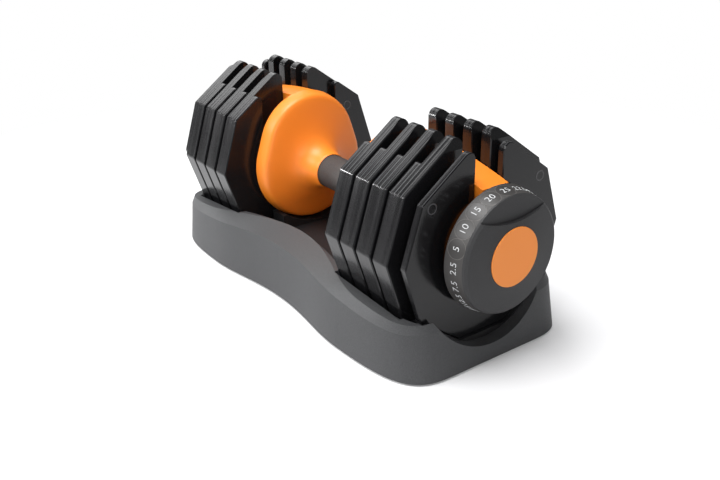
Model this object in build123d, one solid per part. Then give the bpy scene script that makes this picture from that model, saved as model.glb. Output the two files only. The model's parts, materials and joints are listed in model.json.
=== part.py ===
from build123d import *
import os
from math import cos, radians, sin, sqrt, tan

# Adjustable dumbbell docked in its stand, in millimetres.
# X runs along the dumbbell, with the dial at the +X end. Z is up and the floor is z = 0.
# The origin is on the floor, under the middle of the grip.
# Each head is drawn for the +X end. The -X head is its mirror image.

# ---------------------------------------------------------------- driving dimensions
PLATE_RADIUS = 88.5         # large plate, axis to a corner of its ten-sided outline
PLATE_THICKNESS = 18.0
PLATE_GAP = 3.3             # between two large plates
PLATE_COUNT = 4             # large plates on each head
FIRST_PLATE_X = 84.5        # inner face of the first plate
SMALL_PLATE_RADIUS = 82.0
SMALL_PLATE_THICKNESS = 6.7
SMALL_PLATE_GAP = 7.9
PLATE_SIDES = 10
CORNER_RADIUS = 2.0
TIP_RADIUS = 6.5            # rounded top of each prong
RIM_CHAMFER = 0.8
SLOT_HALF_WIDTH = 14.5      # half the slot that the spine drops out of
RECESS_HALF_WIDTH = 42.0    # half the pocket that a selector disc turns in
RECESS_DEPTH = 7.4
STEP_RADIUS = 4.0           # rounded shoulder where the pocket leaves the rim
LEAD_IN_HEIGHT = 9.0        # sloped lead-in at the top of each prong
LEAD_IN_DEPTH = 2.5

LOBE_RADIUS = 38.0          # selector disc, over its lobes
HUB_RADIUS = 34.5           # selector disc, between its lobes
SELECTOR_THICKNESS = 4.0
SELECTOR_START = 1.6        # inner face of a large plate to its selector disc
SMALL_SELECTOR_GAP = 2.0    # selector disc to the face of the small plate
LEDGE_CLEARANCE = 0.8       # lobe tip circle to the plate's ledge
LEDGE_HALF_ANGLE = 17.7     # a lobe within this angle of level is under a ledge
LEDGE_HEIGHT = 9.0
LEDGE_DEPTH = 6.0           # how far a ledge stands off the floor of the pocket
LEDGE_WIDTH = 6.0           # width of the small plate's ledges, which have no pocket wall
DIAL_STEPS = 20             # clicks in one turn, each weight twice
LOBE_MARGIN = 2.5           # degrees of spare turn at each end of a lobe

SHAFT_RADIUS = 7.0
SHAFT_FLAT = 5.5            # axis to each of the two flats
SHAFT_FIT = 0.05
TUBE_RADIUS = 12.0
TUBE_WALL = 2.5
SLEEVE_RADIUS = 16.0
SLEEVE_OVERLAP = 8.0        # how far the sleeve runs into the neck of a guard disc

RIM_RADIUS = 58.0           # guard disc, to the sides and below
RIM_RISE = 12.5             # the rim stands this much further out at the top
CROWN_ANGLE = 28.0          # where the rim leaves its circle for the crown
GUARD_GAP = 6.5             # back of the guard disc to the first plate
GUARD_DEPTH = 42.0
NECK_RADIUS = 17.6

SPINE_CLEARANCE = 0.8       # spine to the slot walls, each side
SPINE_TOP_START = 68.3      # top of the spine above the axis, at the guard disc
SPINE_TOP_MIDDLE = 62.5
SPINE_TOP_END = 50.5
SPINE_END_GAP = 7.0         # small plate to the outer face of the end plate
SPINE_BORE_RADIUS = 8.0
WINDOW_CLEARANCE = 0.6      # spine to a selector disc, each side
FLANGE_THICKNESS = 3.0
FLANGE_RADIUS = 53.6        # spine's flange, let into the back of the guard disc
FLANGE_FIT = 0.1
WEB_GAP = 11.5              # flange to the inner web that carries the grip tube
WEB_THICKNESS = 3.0
WEB_RADIUS = 42.0
SOCKET_DEPTH = 12.5         # socket of the grip tube, in front of the web
SOCKET_FLOOR = 3.5          # end of the tube to the web
PILLAR_RADIUS = 4.0
PILLAR_CIRCLE = 36.0
END_PLATE_RADIUS = 38.0
END_PLATE_THICKNESS = 6.0

BUSH_RADIUS = 9.0
BUSH_FLANGE_RADIUS = 11.0
BUSH_FLANGE_THICKNESS = 1.0

LOCK_GAP = 1.5              # inner web to the lock wheel and the yoke
LOCK_THICKNESS = 3.5
LOCK_WHEEL_RADIUS = 15.0
NOTCH_DEPTH = 4.5
NOTCH_WIDTH = 2.6
LOCK_LIFT_CLEARANCE = 1.2   # tooth to the wheel when docked
YOKE_HALF_OPENING = 16.5
YOKE_RAIL = 3.5
YOKE_BAR = 4.0
YOKE_FOOT_BELOW = 52.0      # foot of the yoke under the axis
YOKE_STEM_HALF = 4.0
SPRING_LENGTH = 11.0
SPRING_RADIUS = 2.6
SPRING_WIRE = 0.45
SPRING_TURNS = 5
COIL_BENDS = 8              # straight lengths in one turn of a spring
POST_CLEARANCE = 0.3
GUIDE_BELOW = 44.0          # lower end of the stem's guides below the axis
GUIDE_HEIGHT = 16.0
GUIDE_WALL = 3.0
SPRING_SEAT_HALF = 5.0

DIAL_GAP = 1.0              # end plate to the back of the dial
DIAL_BACK_RADIUS = 52.0
DIAL_BAND_WIDTH = 17.5
DIAL_TAPER = 2.7            # how much the band narrows towards the face
DIAL_RIM_WIDTH = 3.3
DIAL_RIM_TAPER = 2.9
DIAL_DOME_RISE = 2.5
BADGE_RADIUS = 24.6
BADGE_RISE = 0.8
BADGE_THICKNESS = 1.6
BADGE_FIT = 0.2
EDGE_BREAK = 0.8            # small bevel round the dial and the end cap
SKIRT_WALL = 3.0
DIAL_SCREW_SINK = 3.4
RING_WALL = 3.6
DIAL_WALL = 5.0
HUB_OUTER_RADIUS = 14.0
DETENT_CIRCLE = 30.0
DETENT_LAND_HALF = 5.0
DETENT_BALL_RADIUS = 3.0
BALL_BANDS = 7
DETENT_POCKET = 12.0        # depth of the bore for the ball and its spring
DIMPLE_WIDTH = 3.2
DIMPLE_DEPTH = 1.0
SCOOP_EDGE_Z = 28.6         # lowest point of the finger scoop's edge, above the axis
SCOOP_EDGE_RADIUS = 92.0
SCOOP_DEPTH = 4.2           # dome to the floor of the scoop, along its lower edge
SCOOP_RIM_LAND = 0.9        # what is left of the knob in front of the number ring
DIAL_SCREW_RADIUS = 3.0
CAP_GAP = 0.1               # end cap to the end plate it is screwed to
CAP_LIP_DEPTH = 4.0
CAP_SCREW_CIRCLE = 33.5
CAP_SCREW_ANGLES = (30, 150, 270)
GUARD_SCREW_CIRCLE = 47.0
GUARD_SCREW_ANGLES = (60, 140, 220, 300)
BOSS_RADIUS = 4.5
HOLLOW_SIDES = 12           # sides of the room inside a guard disc
SCREW_DEPTH = 8.0           # how far the guard screws reach into their bosses

STAND_BOTTOM = 1.5          # the skirt stops short of the floor, the feet reach it
STAND_FLOOR_DROP = 64.0     # top of the stand's floor below the axis
STAND_WALL = 5.0
STAND_FLOOR_THICKNESS = 4.0
STAND_DRAFT = 1.5           # inward lean of the outer wall up to the crease
STAND_SIDE_GAP = 5.9        # corner of a large plate to the widest point of the stand
STAND_END_GAP = 3.5         # end plate to the end of the stand
STAND_END_LEAN = 6.5        # how much farther each end wall reaches out at its foot
WAIST_DEPTH = 10.2          # how much narrower the stand is at its waist, each side
STAND_WIDEST_X = 104.0
STAND_END_FLAT = 48.0       # half the straight run across each end
CORNER_CUT = 36.0           # where the room under the stand starts to round its corner
WAIST_SHARE = 0.43          # these three shares set how full the outline's curves are
SWING_SHARE = 0.33
CORNER_SHARE = 0.8
STAND_FALL = 0.1            # slope of crease and lip at their widest point
CREASE_DROPS = (44.0, 50.0, 56.5)  # below the axis at the waist, the widest point and the end
LIP_DROPS = (36.0, 44.0, 50.0)
LIP_WIDEST_X = 128.0
LIP_WAIST_INSET = 36.4      # outline of the opening, in from the outline of the stand
LIP_INSET = 7.2
LIP_END_INSET = 5.5
BRIM_DROPS = (37.5, 44.2, 50.6)  # where the surface inside the lip turns down to the floor
BRIM_WAIST_INSET = 0.6      # width of that surface at the waist, the widest point and the end
BRIM_INSET = 11.0
BRIM_END_INSET = 0.6
TUB_DRAFT = 0.5
STAND_RIB = 3.0
STAND_RIB_PITCH = 40.0
SIDE_POCKET_HALF = 74.0     # pocket under each shoulder: half its length
SIDE_POCKET_LOW = 20.4      # its inner side, in from the outer wall at the waist
SIDE_POCKET_HIGH = 20.0     # height of its roof above the ceiling of the main room
WELL_END_GAP = 2.4          # first and last plate to the ends of the well
WELL_TOP = 8.0              # top of the wells' flared sides above the axis, where they are cut off
WELL_FLOOR = 8.0
CRADLE_FLOOR = 5.53         # cradle under the large plates
WELL_CLEARANCE = 4.2        # plate to the side of the well
WELL_WALL = 3.0
BAY_RADIUS = 66.0           # cut-out of the end walls
BAY_DROP = 17.5             # centre of that cut-out below the axis
CRADLE_HEIGHT = 36.0
CRADLE_FIT = 0.4            # cradle to the well
CRADLE_RIB_GAP = 0.5        # rib to the plates beside it
CRADLE_RIB_REACH = 11.0
REST_GAP = 0.3              # what stands on the stand, to the stand
TRAY_THICKNESS = 3.0
TRAY_HALF_WIDTH = 48.0
SADDLE_LENGTH = 20.0
SADDLE_HALF_WIDTH = 40.0
SADDLE_DEPTH = 46.0         # top of the saddle below the axis
TRAY_SCREW_X = 30.0
POST_HALF = 2.2             # half the thickness of the post under the lock
FOOT_RADIUS = 9.0
FOOT_HEIGHT = 3.5
FOOT_X = 152.0
FOOT_Y = 72.0
SCREW_RADIUS = 2.0
SCREW_HEAD_RADIUS = 3.8
SCREW_HEAD_HEIGHT = 2.2
SCREW_FIT = 0.05
SCREW_BITE = 6.0            # how far a screw of the stand reaches into its liner

# ---------------------------------------------------------------- values that follow
STEP_ANGLE = 360.0 / DIAL_STEPS
SIDE_ANGLE = 360.0 / PLATE_SIDES
PLATE_PITCH = PLATE_THICKNESS + PLATE_GAP
LAST_PLATE_END = FIRST_PLATE_X + PLATE_COUNT * PLATE_PITCH - PLATE_GAP
SMALL_PLATE_X = LAST_PLATE_END + SMALL_PLATE_GAP
SMALL_PLATE_END = SMALL_PLATE_X + SMALL_PLATE_THICKNESS
SPINE_END_X = SMALL_PLATE_END + SPINE_END_GAP
GUARD_BACK_X = FIRST_PLATE_X - GUARD_GAP
NECK_X = GUARD_BACK_X - GUARD_DEPTH
FLANGE_X = GUARD_BACK_X - FLANGE_THICKNESS
WEB_X = FLANGE_X - WEB_GAP
SOCKET_START_X = WEB_X - SOCKET_DEPTH
TUBE_END_X = WEB_X - SOCKET_FLOOR
SLEEVE_END_X = NECK_X + SLEEVE_OVERLAP
LOCK_X = WEB_X + WEB_THICKNESS + LOCK_GAP
DIAL_BACK_X = SPINE_END_X + DIAL_GAP
DIAL_BAND_END_RADIUS = DIAL_BACK_RADIUS - DIAL_TAPER
DIAL_FACE_RADIUS = DIAL_BAND_END_RADIUS - DIAL_RIM_TAPER
DIAL_BAND_END_X = DIAL_BACK_X + DIAL_BAND_WIDTH
DIAL_FACE_X = DIAL_BAND_END_X + DIAL_RIM_WIDTH
DIAL_DOME_X = DIAL_FACE_X + DIAL_DOME_RISE
BADGE_FACE_X = DIAL_DOME_X + BADGE_RISE
CAP_LIP_END_X = SPINE_END_X + CAP_LIP_DEPTH
SPINE_HALF_WIDTH = SLOT_HALF_WIDTH - SPINE_CLEARANCE
LEDGE_INNER = LOBE_RADIUS * cos(radians(LEDGE_HALF_ANGLE))
LEDGE_LOW = sqrt((LOBE_RADIUS + LEDGE_CLEARANCE) ** 2 - LEDGE_INNER ** 2)
PLATE_BOTTOM = PLATE_RADIUS * cos(radians(SIDE_ANGLE / 2))
AXIS_HEIGHT = WELL_FLOOR + CRADLE_FLOOR + REST_GAP + PLATE_BOTTOM
STAND_FLOOR = AXIS_HEIGHT - STAND_FLOOR_DROP
STAND_CEILING = STAND_FLOOR - STAND_FLOOR_THICKNESS
CREASE_HEIGHTS = [AXIS_HEIGHT - drop for drop in CREASE_DROPS]
LIP_HEIGHTS = [AXIS_HEIGHT - drop for drop in LIP_DROPS]
BRIM_HEIGHTS = [AXIS_HEIGHT - drop for drop in BRIM_DROPS]
WELL_START_X = FIRST_PLATE_X - WELL_END_GAP
WELL_END_X = SMALL_PLATE_END + WELL_END_GAP
WELL_SPLIT_X = LAST_PLATE_END + WELL_END_GAP / 2
TRAY_HALF_LENGTH = GUARD_BACK_X + 2
DETENT_FLOOR_X = SPINE_END_X - DETENT_POCKET
STAND_TOP_LENGTH = SPINE_END_X + STAND_END_GAP
STAND_HALF_LENGTH = STAND_TOP_LENGTH + STAND_END_LEAN
STAND_HALF_WIDTH = PLATE_RADIUS + STAND_SIDE_GAP
SMALL_SELECTOR_X = SMALL_PLATE_X - SMALL_SELECTOR_GAP - SELECTOR_THICKNESS
PLATE_XS = [FIRST_PLATE_X + k * PLATE_PITCH for k in range(PLATE_COUNT)]
GAP_XS = [x + PLATE_THICKNESS + PLATE_GAP / 2 for x in PLATE_XS[:-1]]
SELECTOR_XS = [x + SELECTOR_START for x in PLATE_XS] + [SMALL_SELECTOR_X]

# First and last click, counted from the heaviest setting, at which each plate is picked up
SELECTOR_RUNS = [(-3, 4), (-2, 3), (-1, 2), (0, 1), (-4, 0)]

os.makedirs("parts", exist_ok=True)


# ---------------------------------------------------------------- helpers
def section_plane(x):
    """Plane across the dumbbell: sketch x is world Y, sketch y is height above the axis."""
    return Plane(origin=(x, 0, AXIS_HEIGHT), x_dir=(0, 1, 0), z_dir=(1, 0, 0))


def slab(sketch, x_start, x_end):
    """Solid with the section of the sketch from x_start to x_end."""
    return extrude(section_plane(x_start) * sketch, amount=x_end - x_start, dir=(1, 0, 0))


def turned(profile):
    """Solid of revolution about the dumbbell's axis from (x, radius) points."""
    points = [(x, radius) for x, radius in profile]
    plane = Plane(origin=(0, 0, AXIS_HEIGHT), x_dir=(1, 0, 0), z_dir=(0, -1, 0))
    return revolve(plane * Polygon(*points, align=None), Axis((0, 0, AXIS_HEIGHT), (1, 0, 0)))


def box(x0, x1, y0, y1, z0, z1):
    """Box from its lowest to its highest corner, in world coordinates."""
    return Pos((x0 + x1) / 2, (y0 + y1) / 2, (z0 + z1) / 2) * Box(x1 - x0, y1 - y0, z1 - z0)


def upright(radius, x, y, z0, z1):
    """Cylinder along Z."""
    return Pos(x, y, (z0 + z1) / 2) * Cylinder(radius, z1 - z0)


def mirrored(part):
    return mirror(part, about=Plane.YZ)


def double_d(radius, flat):
    return Circle(radius) & Rectangle(2 * radius, 2 * flat)


def save(part, name):
    part.label = name
    export_step(part, f"parts/{name}.step")


# ---------------------------------------------------------------- weight plates
def plate_face(radius):
    """Ten-sided outline, its top run up into two prongs beside the spine's slot."""
    angles = [0, 1, 4, 5, 6, 7, 8, 9]
    turns = [radians(k * SIDE_ANGLE) for k in angles]
    corners = [(radius * cos(turn), radius * sin(turn)) for turn in turns]
    apex = (0, 2 * radius * sin(radians(SIDE_ANGLE)))
    outline = Polygon(*corners[:2], apex, *corners[2:], align=None)
    slot = Pos(0, radius) * Rectangle(2 * SLOT_HALF_WIDTH, 2 * radius) + Circle(SLOT_HALF_WIDTH)
    face = outline - slot
    tips = [v for v in face.vertices() if abs(abs(v.X) - SLOT_HALF_WIDTH) < 0.01 and v.Y > radius / 2]
    face = fillet(tips, TIP_RADIUS)
    sharp = [v for v in face.vertices() if abs(sqrt(v.X ** 2 + v.Y ** 2) - radius) < 0.01]
    return fillet(sharp, CORNER_RADIUS)


def prong_top(radius):
    """Height of the prong tips above the axis."""
    side = radians(SIDE_ANGLE)
    slot_corner = 2 * radius * sin(side) - SLOT_HALF_WIDTH * tan(side)
    return slot_corner - TIP_RADIUS * (tan(side) + 1 / cos(side) - 1)


def rim_edges(face):
    """Edges of a plate's face that run round its outside, prong tips included."""
    reach = SMALL_PLATE_RADIUS * cos(radians(SIDE_ANGLE / 2)) - 1
    middle = Vector(0, 0, AXIS_HEIGHT)
    return [edge for edge in face.edges() if (edge @ 0.5 - middle).cross(Vector(1, 0, 0)).length > reach]


def ledge(x_start, x_end, outer):
    """The pair of ledges that a selector disc's lobes lift."""
    block = box(x_start, x_end, LEDGE_INNER, outer, AXIS_HEIGHT + LEDGE_LOW,
                AXIS_HEIGHT + LEDGE_LOW + LEDGE_HEIGHT)
    return block + mirror(block, about=Plane.XZ)


def lead_in(x_outer, radius):
    """Wedge that slopes the outer face back at the top of the prongs."""
    top = AXIS_HEIGHT + prong_top(radius)
    points = [(x_outer, top - LEAD_IN_HEIGHT), (x_outer - LEAD_IN_DEPTH, top + 0.1),
              (x_outer + 1, top + 0.1), (x_outer + 1, top - LEAD_IN_HEIGHT)]
    plane = Plane(origin=(0, 0, 0), x_dir=(1, 0, 0), z_dir=(0, -1, 0))
    return extrude(plane * Polygon(*points, align=None), amount=radius, both=True)


def large_plate(x_inner):
    face = plate_face(PLATE_RADIUS)
    x_floor = x_inner + RECESS_DEPTH
    x_outer = x_inner + PLATE_THICKNESS
    pocket = Pos(0, PLATE_RADIUS) * Rectangle(2 * RECESS_HALF_WIDTH, 2 * PLATE_RADIUS)
    land = face - (pocket + RegularPolygon(RECESS_HALF_WIDTH, PLATE_SIDES))
    steps = [v for v in land.vertices() if abs(abs(v.X) - RECESS_HALF_WIDTH) < 0.01 and v.Y > STEP_RADIUS]
    land = fillet(steps, STEP_RADIUS)
    front = slab(land, x_inner, x_floor)
    front = chamfer(rim_edges(front.faces().sort_by(Axis.X)[0]), RIM_CHAMFER)
    back = slab(face, x_floor, x_outer)
    back = chamfer(rim_edges(back.faces().sort_by(Axis.X)[-1]), RIM_CHAMFER)
    ledges = ledge(x_floor - LEDGE_DEPTH, x_floor, RECESS_HALF_WIDTH + 1)
    return front + back + ledges - lead_in(x_outer, PLATE_RADIUS)


def small_plate():
    body = slab(plate_face(SMALL_PLATE_RADIUS), SMALL_PLATE_X, SMALL_PLATE_END)
    body = chamfer(rim_edges(body.faces().sort_by(Axis.X)[-1]), RIM_CHAMFER)
    body = chamfer(rim_edges(body.faces().sort_by(Axis.X)[0]), RIM_CHAMFER)
    x_start = SMALL_SELECTOR_X - SELECTOR_START / 4
    return body + ledge(x_start, SMALL_PLATE_X, LEDGE_INNER + LEDGE_WIDTH)


# ---------------------------------------------------------------- selector: turns with the dial
def lobe_sector(start, span):
    """Ring sector between the hub circle and the lobe circle, angles in degrees from +Y."""
    outer = CenterArc((0, 0), LOBE_RADIUS, start, span)
    inner = CenterArc((0, 0), HUB_RADIUS - 1, start, span)
    return make_face([outer, Line(outer @ 1, inner @ 1), inner, Line(inner @ 0, outer @ 0)])


def selector_disc(x_start, run):
    """Disc with two opposite lobes, as long as the run of clicks that lift its plate."""
    first, last = run
    span = (last - first + 2) * STEP_ANGLE - 2 * LEDGE_HALF_ANGLE - 2 * LOBE_MARGIN
    middle = -(first + last) / 2 * STEP_ANGLE
    sketch = Circle(HUB_RADIUS)
    for turn in (0, 180):
        sketch += lobe_sector(middle - span / 2 + turn, span)
    sketch -= double_d(SHAFT_RADIUS + SHAFT_FIT, SHAFT_FLAT + SHAFT_FIT)
    return slab(sketch, x_start, x_start + SELECTOR_THICKNESS)


def drive_shaft():
    """Double-D bar, tapped for the dial screw and with a threaded stub for the nut."""
    bar = slab(double_d(SHAFT_RADIUS, SHAFT_FLAT), -SPINE_END_X - 1, DIAL_FACE_X - DIAL_WALL)
    stub = slab(Circle(SHAFT_FLAT - 0.5), -SPINE_END_X - 9, -SPINE_END_X - 1)
    hole = slab(Circle(DIAL_SCREW_RADIUS), DIAL_FACE_X - DIAL_WALL - 16, DIAL_FACE_X)
    return bar + stub - hole


def shaft_nut():
    nut = RegularPolygon(9, 6) - Circle(SHAFT_FLAT - 0.5 + SHAFT_FIT)
    return slab(nut, -SPINE_END_X - 7.5, -SPINE_END_X - 1)


def lock_wheel():
    """Wheel with one notch for each click of the dial."""
    wheel = Circle(LOCK_WHEEL_RADIUS)
    notch = Pos(0, LOCK_WHEEL_RADIUS) * Rectangle(NOTCH_WIDTH, 2 * NOTCH_DEPTH)
    wheel -= [Rot(0, 0, k * STEP_ANGLE) * notch for k in range(DIAL_STEPS)]
    wheel -= double_d(SHAFT_RADIUS + SHAFT_FIT, SHAFT_FLAT + SHAFT_FIT)
    return slab(wheel, LOCK_X, LOCK_X + LOCK_THICKNESS)


def number_ring():
    """Tapered band that carries the weights."""
    seat = DIAL_BAND_END_RADIUS - RING_WALL
    return turned([(DIAL_BACK_X, seat), (DIAL_BACK_X, DIAL_BACK_RADIUS - EDGE_BREAK),
                   (DIAL_BACK_X + EDGE_BREAK, DIAL_BACK_RADIUS), (DIAL_BAND_END_X, DIAL_BAND_END_RADIUS),
                   (DIAL_BAND_END_X, seat)])


def dial_rim():
    """Bevelled rim between the band and the face, as (x, radius) points."""
    return [(DIAL_BAND_END_X, DIAL_BAND_END_RADIUS),
            (DIAL_BAND_END_X + DIAL_RIM_WIDTH / 2, DIAL_BAND_END_RADIUS - EDGE_BREAK),
            (DIAL_FACE_X, DIAL_FACE_RADIUS)]


def dial_knob():
    """Cup-shaped knob: hub, detent ring and skirt behind a domed face with a seat for the badge."""
    seat = DIAL_BAND_END_RADIUS - RING_WALL
    detent_in = DETENT_CIRCLE - DETENT_LAND_HALF
    detent_out = DETENT_CIRCLE + DETENT_LAND_HALF
    cavity = DIAL_FACE_X - DIAL_WALL
    badge_x = BADGE_FACE_X - BADGE_THICKNESS
    badge_seat = BADGE_RADIUS + BADGE_FIT
    hub = [(DIAL_BACK_X, 0), (DIAL_BACK_X, HUB_OUTER_RADIUS), (cavity, HUB_OUTER_RADIUS)]
    detent = [(cavity, detent_in), (DIAL_BACK_X, detent_in), (DIAL_BACK_X, detent_out), (cavity, detent_out)]
    skirt = [(cavity, seat - SKIRT_WALL), (DIAL_BACK_X + 1, seat - SKIRT_WALL), (DIAL_BACK_X + 1, seat)]
    skirt.append((DIAL_BAND_END_X, seat))
    outside = dial_rim() + [(DIAL_DOME_X, badge_seat), (badge_x, badge_seat), (badge_x, 0)]
    knob = turned(hub + detent + skirt + outside)
    knob -= slab(double_d(SHAFT_RADIUS + SHAFT_FIT, SHAFT_FLAT + SHAFT_FIT), DIAL_BACK_X - 1, cavity)
    knob -= slab(Circle(DIAL_SCREW_RADIUS + 0.2), cavity - 1, BADGE_FACE_X)
    knob -= slab(Circle(2 * DIAL_SCREW_RADIUS + 0.3), badge_x - DIAL_SCREW_SINK, BADGE_FACE_X)
    dimple = Pos(0, DETENT_CIRCLE) * Rectangle(DIMPLE_WIDTH, DIMPLE_WIDTH)
    dimples = Sketch() + [Rot(0, 0, k * STEP_ANGLE) * dimple for k in range(DIAL_STEPS)]
    knob -= slab(dimples, DIAL_BACK_X - 1, DIAL_BACK_X + DIMPLE_DEPTH)
    return knob - finger_scoop()


def finger_scoop():
    """Lens-shaped step sunk into the top of the dial's face, open at its rim."""
    edge_circle = Pos(0, SCOOP_EDGE_Z + SCOOP_EDGE_RADIUS) * Circle(SCOOP_EDGE_RADIUS)
    lens = slab(edge_circle, DIAL_BACK_X, BADGE_FACE_X)
    floor_low = DIAL_DOME_X - SCOOP_DEPTH
    floor_high = DIAL_BAND_END_X + SCOOP_RIM_LAND
    z_low = AXIS_HEIGHT + SCOOP_EDGE_Z
    z_high = AXIS_HEIGHT + DIAL_BACK_RADIUS
    front = BADGE_FACE_X + 1
    points = [(floor_low, z_low), (floor_high, z_high), (front, z_high), (front, z_low)]
    plane = Plane(origin=(0, 0, 0), x_dir=(1, 0, 0), z_dir=(0, -1, 0))
    return lens & extrude(plane * Polygon(*points, align=None), amount=DIAL_BACK_RADIUS, both=True)


def dial_badge():
    face = slab(Circle(BADGE_RADIUS), BADGE_FACE_X - BADGE_THICKNESS, BADGE_FACE_X)
    return chamfer(face.faces().sort_by(Axis.X)[-1].edges(), BADGE_RISE / 2)


def dial_screw():
    badge_x = BADGE_FACE_X - BADGE_THICKNESS
    drive = RegularPolygon(DIAL_SCREW_RADIUS, 6)
    head = slab(Circle(2 * DIAL_SCREW_RADIUS) - drive, badge_x - DIAL_SCREW_SINK, badge_x - 0.3)
    shank = slab(Circle(DIAL_SCREW_RADIUS - SCREW_FIT), DIAL_FACE_X - DIAL_WALL - 14, badge_x - 2.4)
    return head + shank


# ---------------------------------------------------------------- handle
def egg(radius, rise):
    """A circle, and a smaller one above it that makes its crown, joined by their shared tangents."""
    crown_height = rise / (1 - sin(radians(CROWN_ANGLE)))
    crown_radius = radius - crown_height * sin(radians(CROWN_ANGLE))
    span = 180 - 2 * CROWN_ANGLE
    crown = CenterArc((0, crown_height), crown_radius, CROWN_ANGLE, span)
    base = CenterArc((0, 0), radius, 180 - CROWN_ANGLE, 360 - span)
    return make_face([base, Line(base @ 1, crown @ 0), crown, Line(crown @ 1, base @ 0)])


def guard_disc():
    """Hollow trumpet from the neck on the grip out to the egg-shaped rim."""
    flare = [(0, NECK_RADIUS, 0), (11, NECK_RADIUS + 3.5, 0.1), (18, NECK_RADIUS + 9.5, 0.25),
             (24, NECK_RADIUS + 20.5, 0.6), (28, RIM_RADIUS - 6.5, 0.95), (32, RIM_RADIUS - 1.4, 1),
             (36, RIM_RADIUS, 1), (GUARD_DEPTH - FLANGE_FIT, RIM_RADIUS - 0.8, 1)]
    sections = []
    for x, radius, share in flare:
        sections.append(section_plane(NECK_X + x) * egg(radius, RIM_RISE * share + 0.1))
    body = loft(sections, ruled=True) - guard_hollow()
    body -= slab(egg(FLANGE_RADIUS + FLANGE_FIT, RIM_RISE), FLANGE_X, GUARD_BACK_X + 1)
    body -= slab(Circle(SLEEVE_RADIUS + 0.2), NECK_X - 1, GUARD_BACK_X)
    for angle in GUARD_SCREW_ANGLES:
        body -= slab(guard_screw_hole(angle), FLANGE_X - SCREW_DEPTH, GUARD_BACK_X)
    return body


def guard_hollow():
    """Room behind the flare, with the screw bosses left standing in it."""
    rooms = [(NECK_X + 22, NECK_RADIUS + 10), (NECK_X + 29, RIM_RADIUS - 11), (FLANGE_X + 1, RIM_RADIUS - 7)]
    sections = [section_plane(x) * RegularPolygon(radius, HOLLOW_SIDES) for x, radius in rooms]
    room = loft(sections, ruled=True)
    boss = Pos(0, GUARD_SCREW_CIRCLE + BOSS_RADIUS / 2) * Rectangle(2 * BOSS_RADIUS, 3 * BOSS_RADIUS)
    for angle in GUARD_SCREW_ANGLES:
        room -= slab(Rot(0, 0, angle) * boss, NECK_X, GUARD_BACK_X)
    return room


def guard_screw_hole(angle):
    return Rot(0, 0, angle) * Pos(0, GUARD_SCREW_CIRCLE) * Circle(SCREW_RADIUS + SCREW_FIT)


def guard_disc_with_lock_hole():
    x_middle = LOCK_X + LOCK_THICKNESS / 2
    hole = box(x_middle - 4.5, x_middle + 4.5, -YOKE_STEM_HALF - 2, YOKE_STEM_HALF + 2,
               AXIS_HEIGHT - RIM_RADIUS - 5, AXIS_HEIGHT - RIM_RADIUS / 2)
    return guard_disc() - hole


def spine_side_profile():
    """Side view of the spine: its top falls in one long arc towards the dial."""
    start = (GUARD_BACK_X, SPINE_TOP_START)
    end = (SPINE_END_X, SPINE_TOP_END)
    top = ThreePointArc(start, ((GUARD_BACK_X + SPINE_END_X) / 2, SPINE_TOP_MIDDLE), end)
    low = -PLATE_RADIUS
    sides = Polyline(end, (SPINE_END_X, low), (GUARD_BACK_X, low), start)
    return make_face([top, sides])


def spine():
    """Comb in one piece with its end plates: a tooth in each plate's slot, a roof over all."""
    tooth = Pos(0, PLATE_RADIUS / 2) * Rectangle(2 * SPINE_HALF_WIDTH, PLATE_RADIUS)
    section = tooth + Circle(SPINE_HALF_WIDTH)
    plane = Plane(origin=(0, 0, AXIS_HEIGHT), x_dir=(1, 0, 0), z_dir=(0, -1, 0))
    side = extrude(plane * spine_side_profile(), amount=2 * SPINE_HALF_WIDTH, both=True)
    body = slab(section, GUARD_BACK_X, SPINE_END_X) & side
    for x in SELECTOR_XS:
        body -= slab(Circle(LOBE_RADIUS + LEDGE_CLEARANCE), x - WINDOW_CLEARANCE,
                     x + SELECTOR_THICKNESS + WINDOW_CLEARANCE)
    body += slab(egg(FLANGE_RADIUS, RIM_RISE), FLANGE_X, GUARD_BACK_X)
    body += slab(Circle(END_PLATE_RADIUS), SPINE_END_X - END_PLATE_THICKNESS, SPINE_END_X)
    body += slab(RegularPolygon(WEB_RADIUS, HOLLOW_SIDES), WEB_X, WEB_X + WEB_THICKNESS)
    body += slab(Circle(SLEEVE_RADIUS), SOCKET_START_X, WEB_X)
    pillar = Pos(0, PILLAR_CIRCLE) * RegularPolygon(PILLAR_RADIUS, 4)
    for k in range(4):
        body += slab(Rot(0, 0, 45 + 90 * k) * pillar, WEB_X, FLANGE_X)
    body -= slab(Circle(TUBE_RADIUS + 0.1), SOCKET_START_X - 1, TUBE_END_X)
    body -= slab(Circle(SPINE_BORE_RADIUS), TUBE_END_X - 1, SPINE_END_X + 1)
    body -= slab(Circle(BUSH_RADIUS + SHAFT_FIT), TUBE_END_X - 1, WEB_X + WEB_THICKNESS + 1)
    body -= slab(Circle(BUSH_RADIUS + SHAFT_FIT), SPINE_END_X - END_PLATE_THICKNESS, SPINE_END_X + 1)
    for angle in GUARD_SCREW_ANGLES:
        body -= slab(guard_screw_hole(angle), FLANGE_X - 1, GUARD_BACK_X + 1)
    return body


def spine_with_cap_screw_holes():
    """The far end's spine carries the end cap on screws sunk into its end plate."""
    body = spine()
    inner_x = SPINE_END_X - END_PLATE_THICKNESS
    for angle in CAP_SCREW_ANGLES:
        sink = Rot(0, 0, angle) * Pos(0, CAP_SCREW_CIRCLE) * Circle(SCREW_HEAD_RADIUS + 0.2)
        hole = Rot(0, 0, angle) * Pos(0, CAP_SCREW_CIRCLE) * Circle(SCREW_RADIUS + SCREW_FIT)
        body -= slab(sink, inner_x, inner_x + SCREW_HEAD_HEIGHT + 0.2)
        body -= slab(hole, inner_x, SPINE_END_X + 1)
    return body


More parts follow.
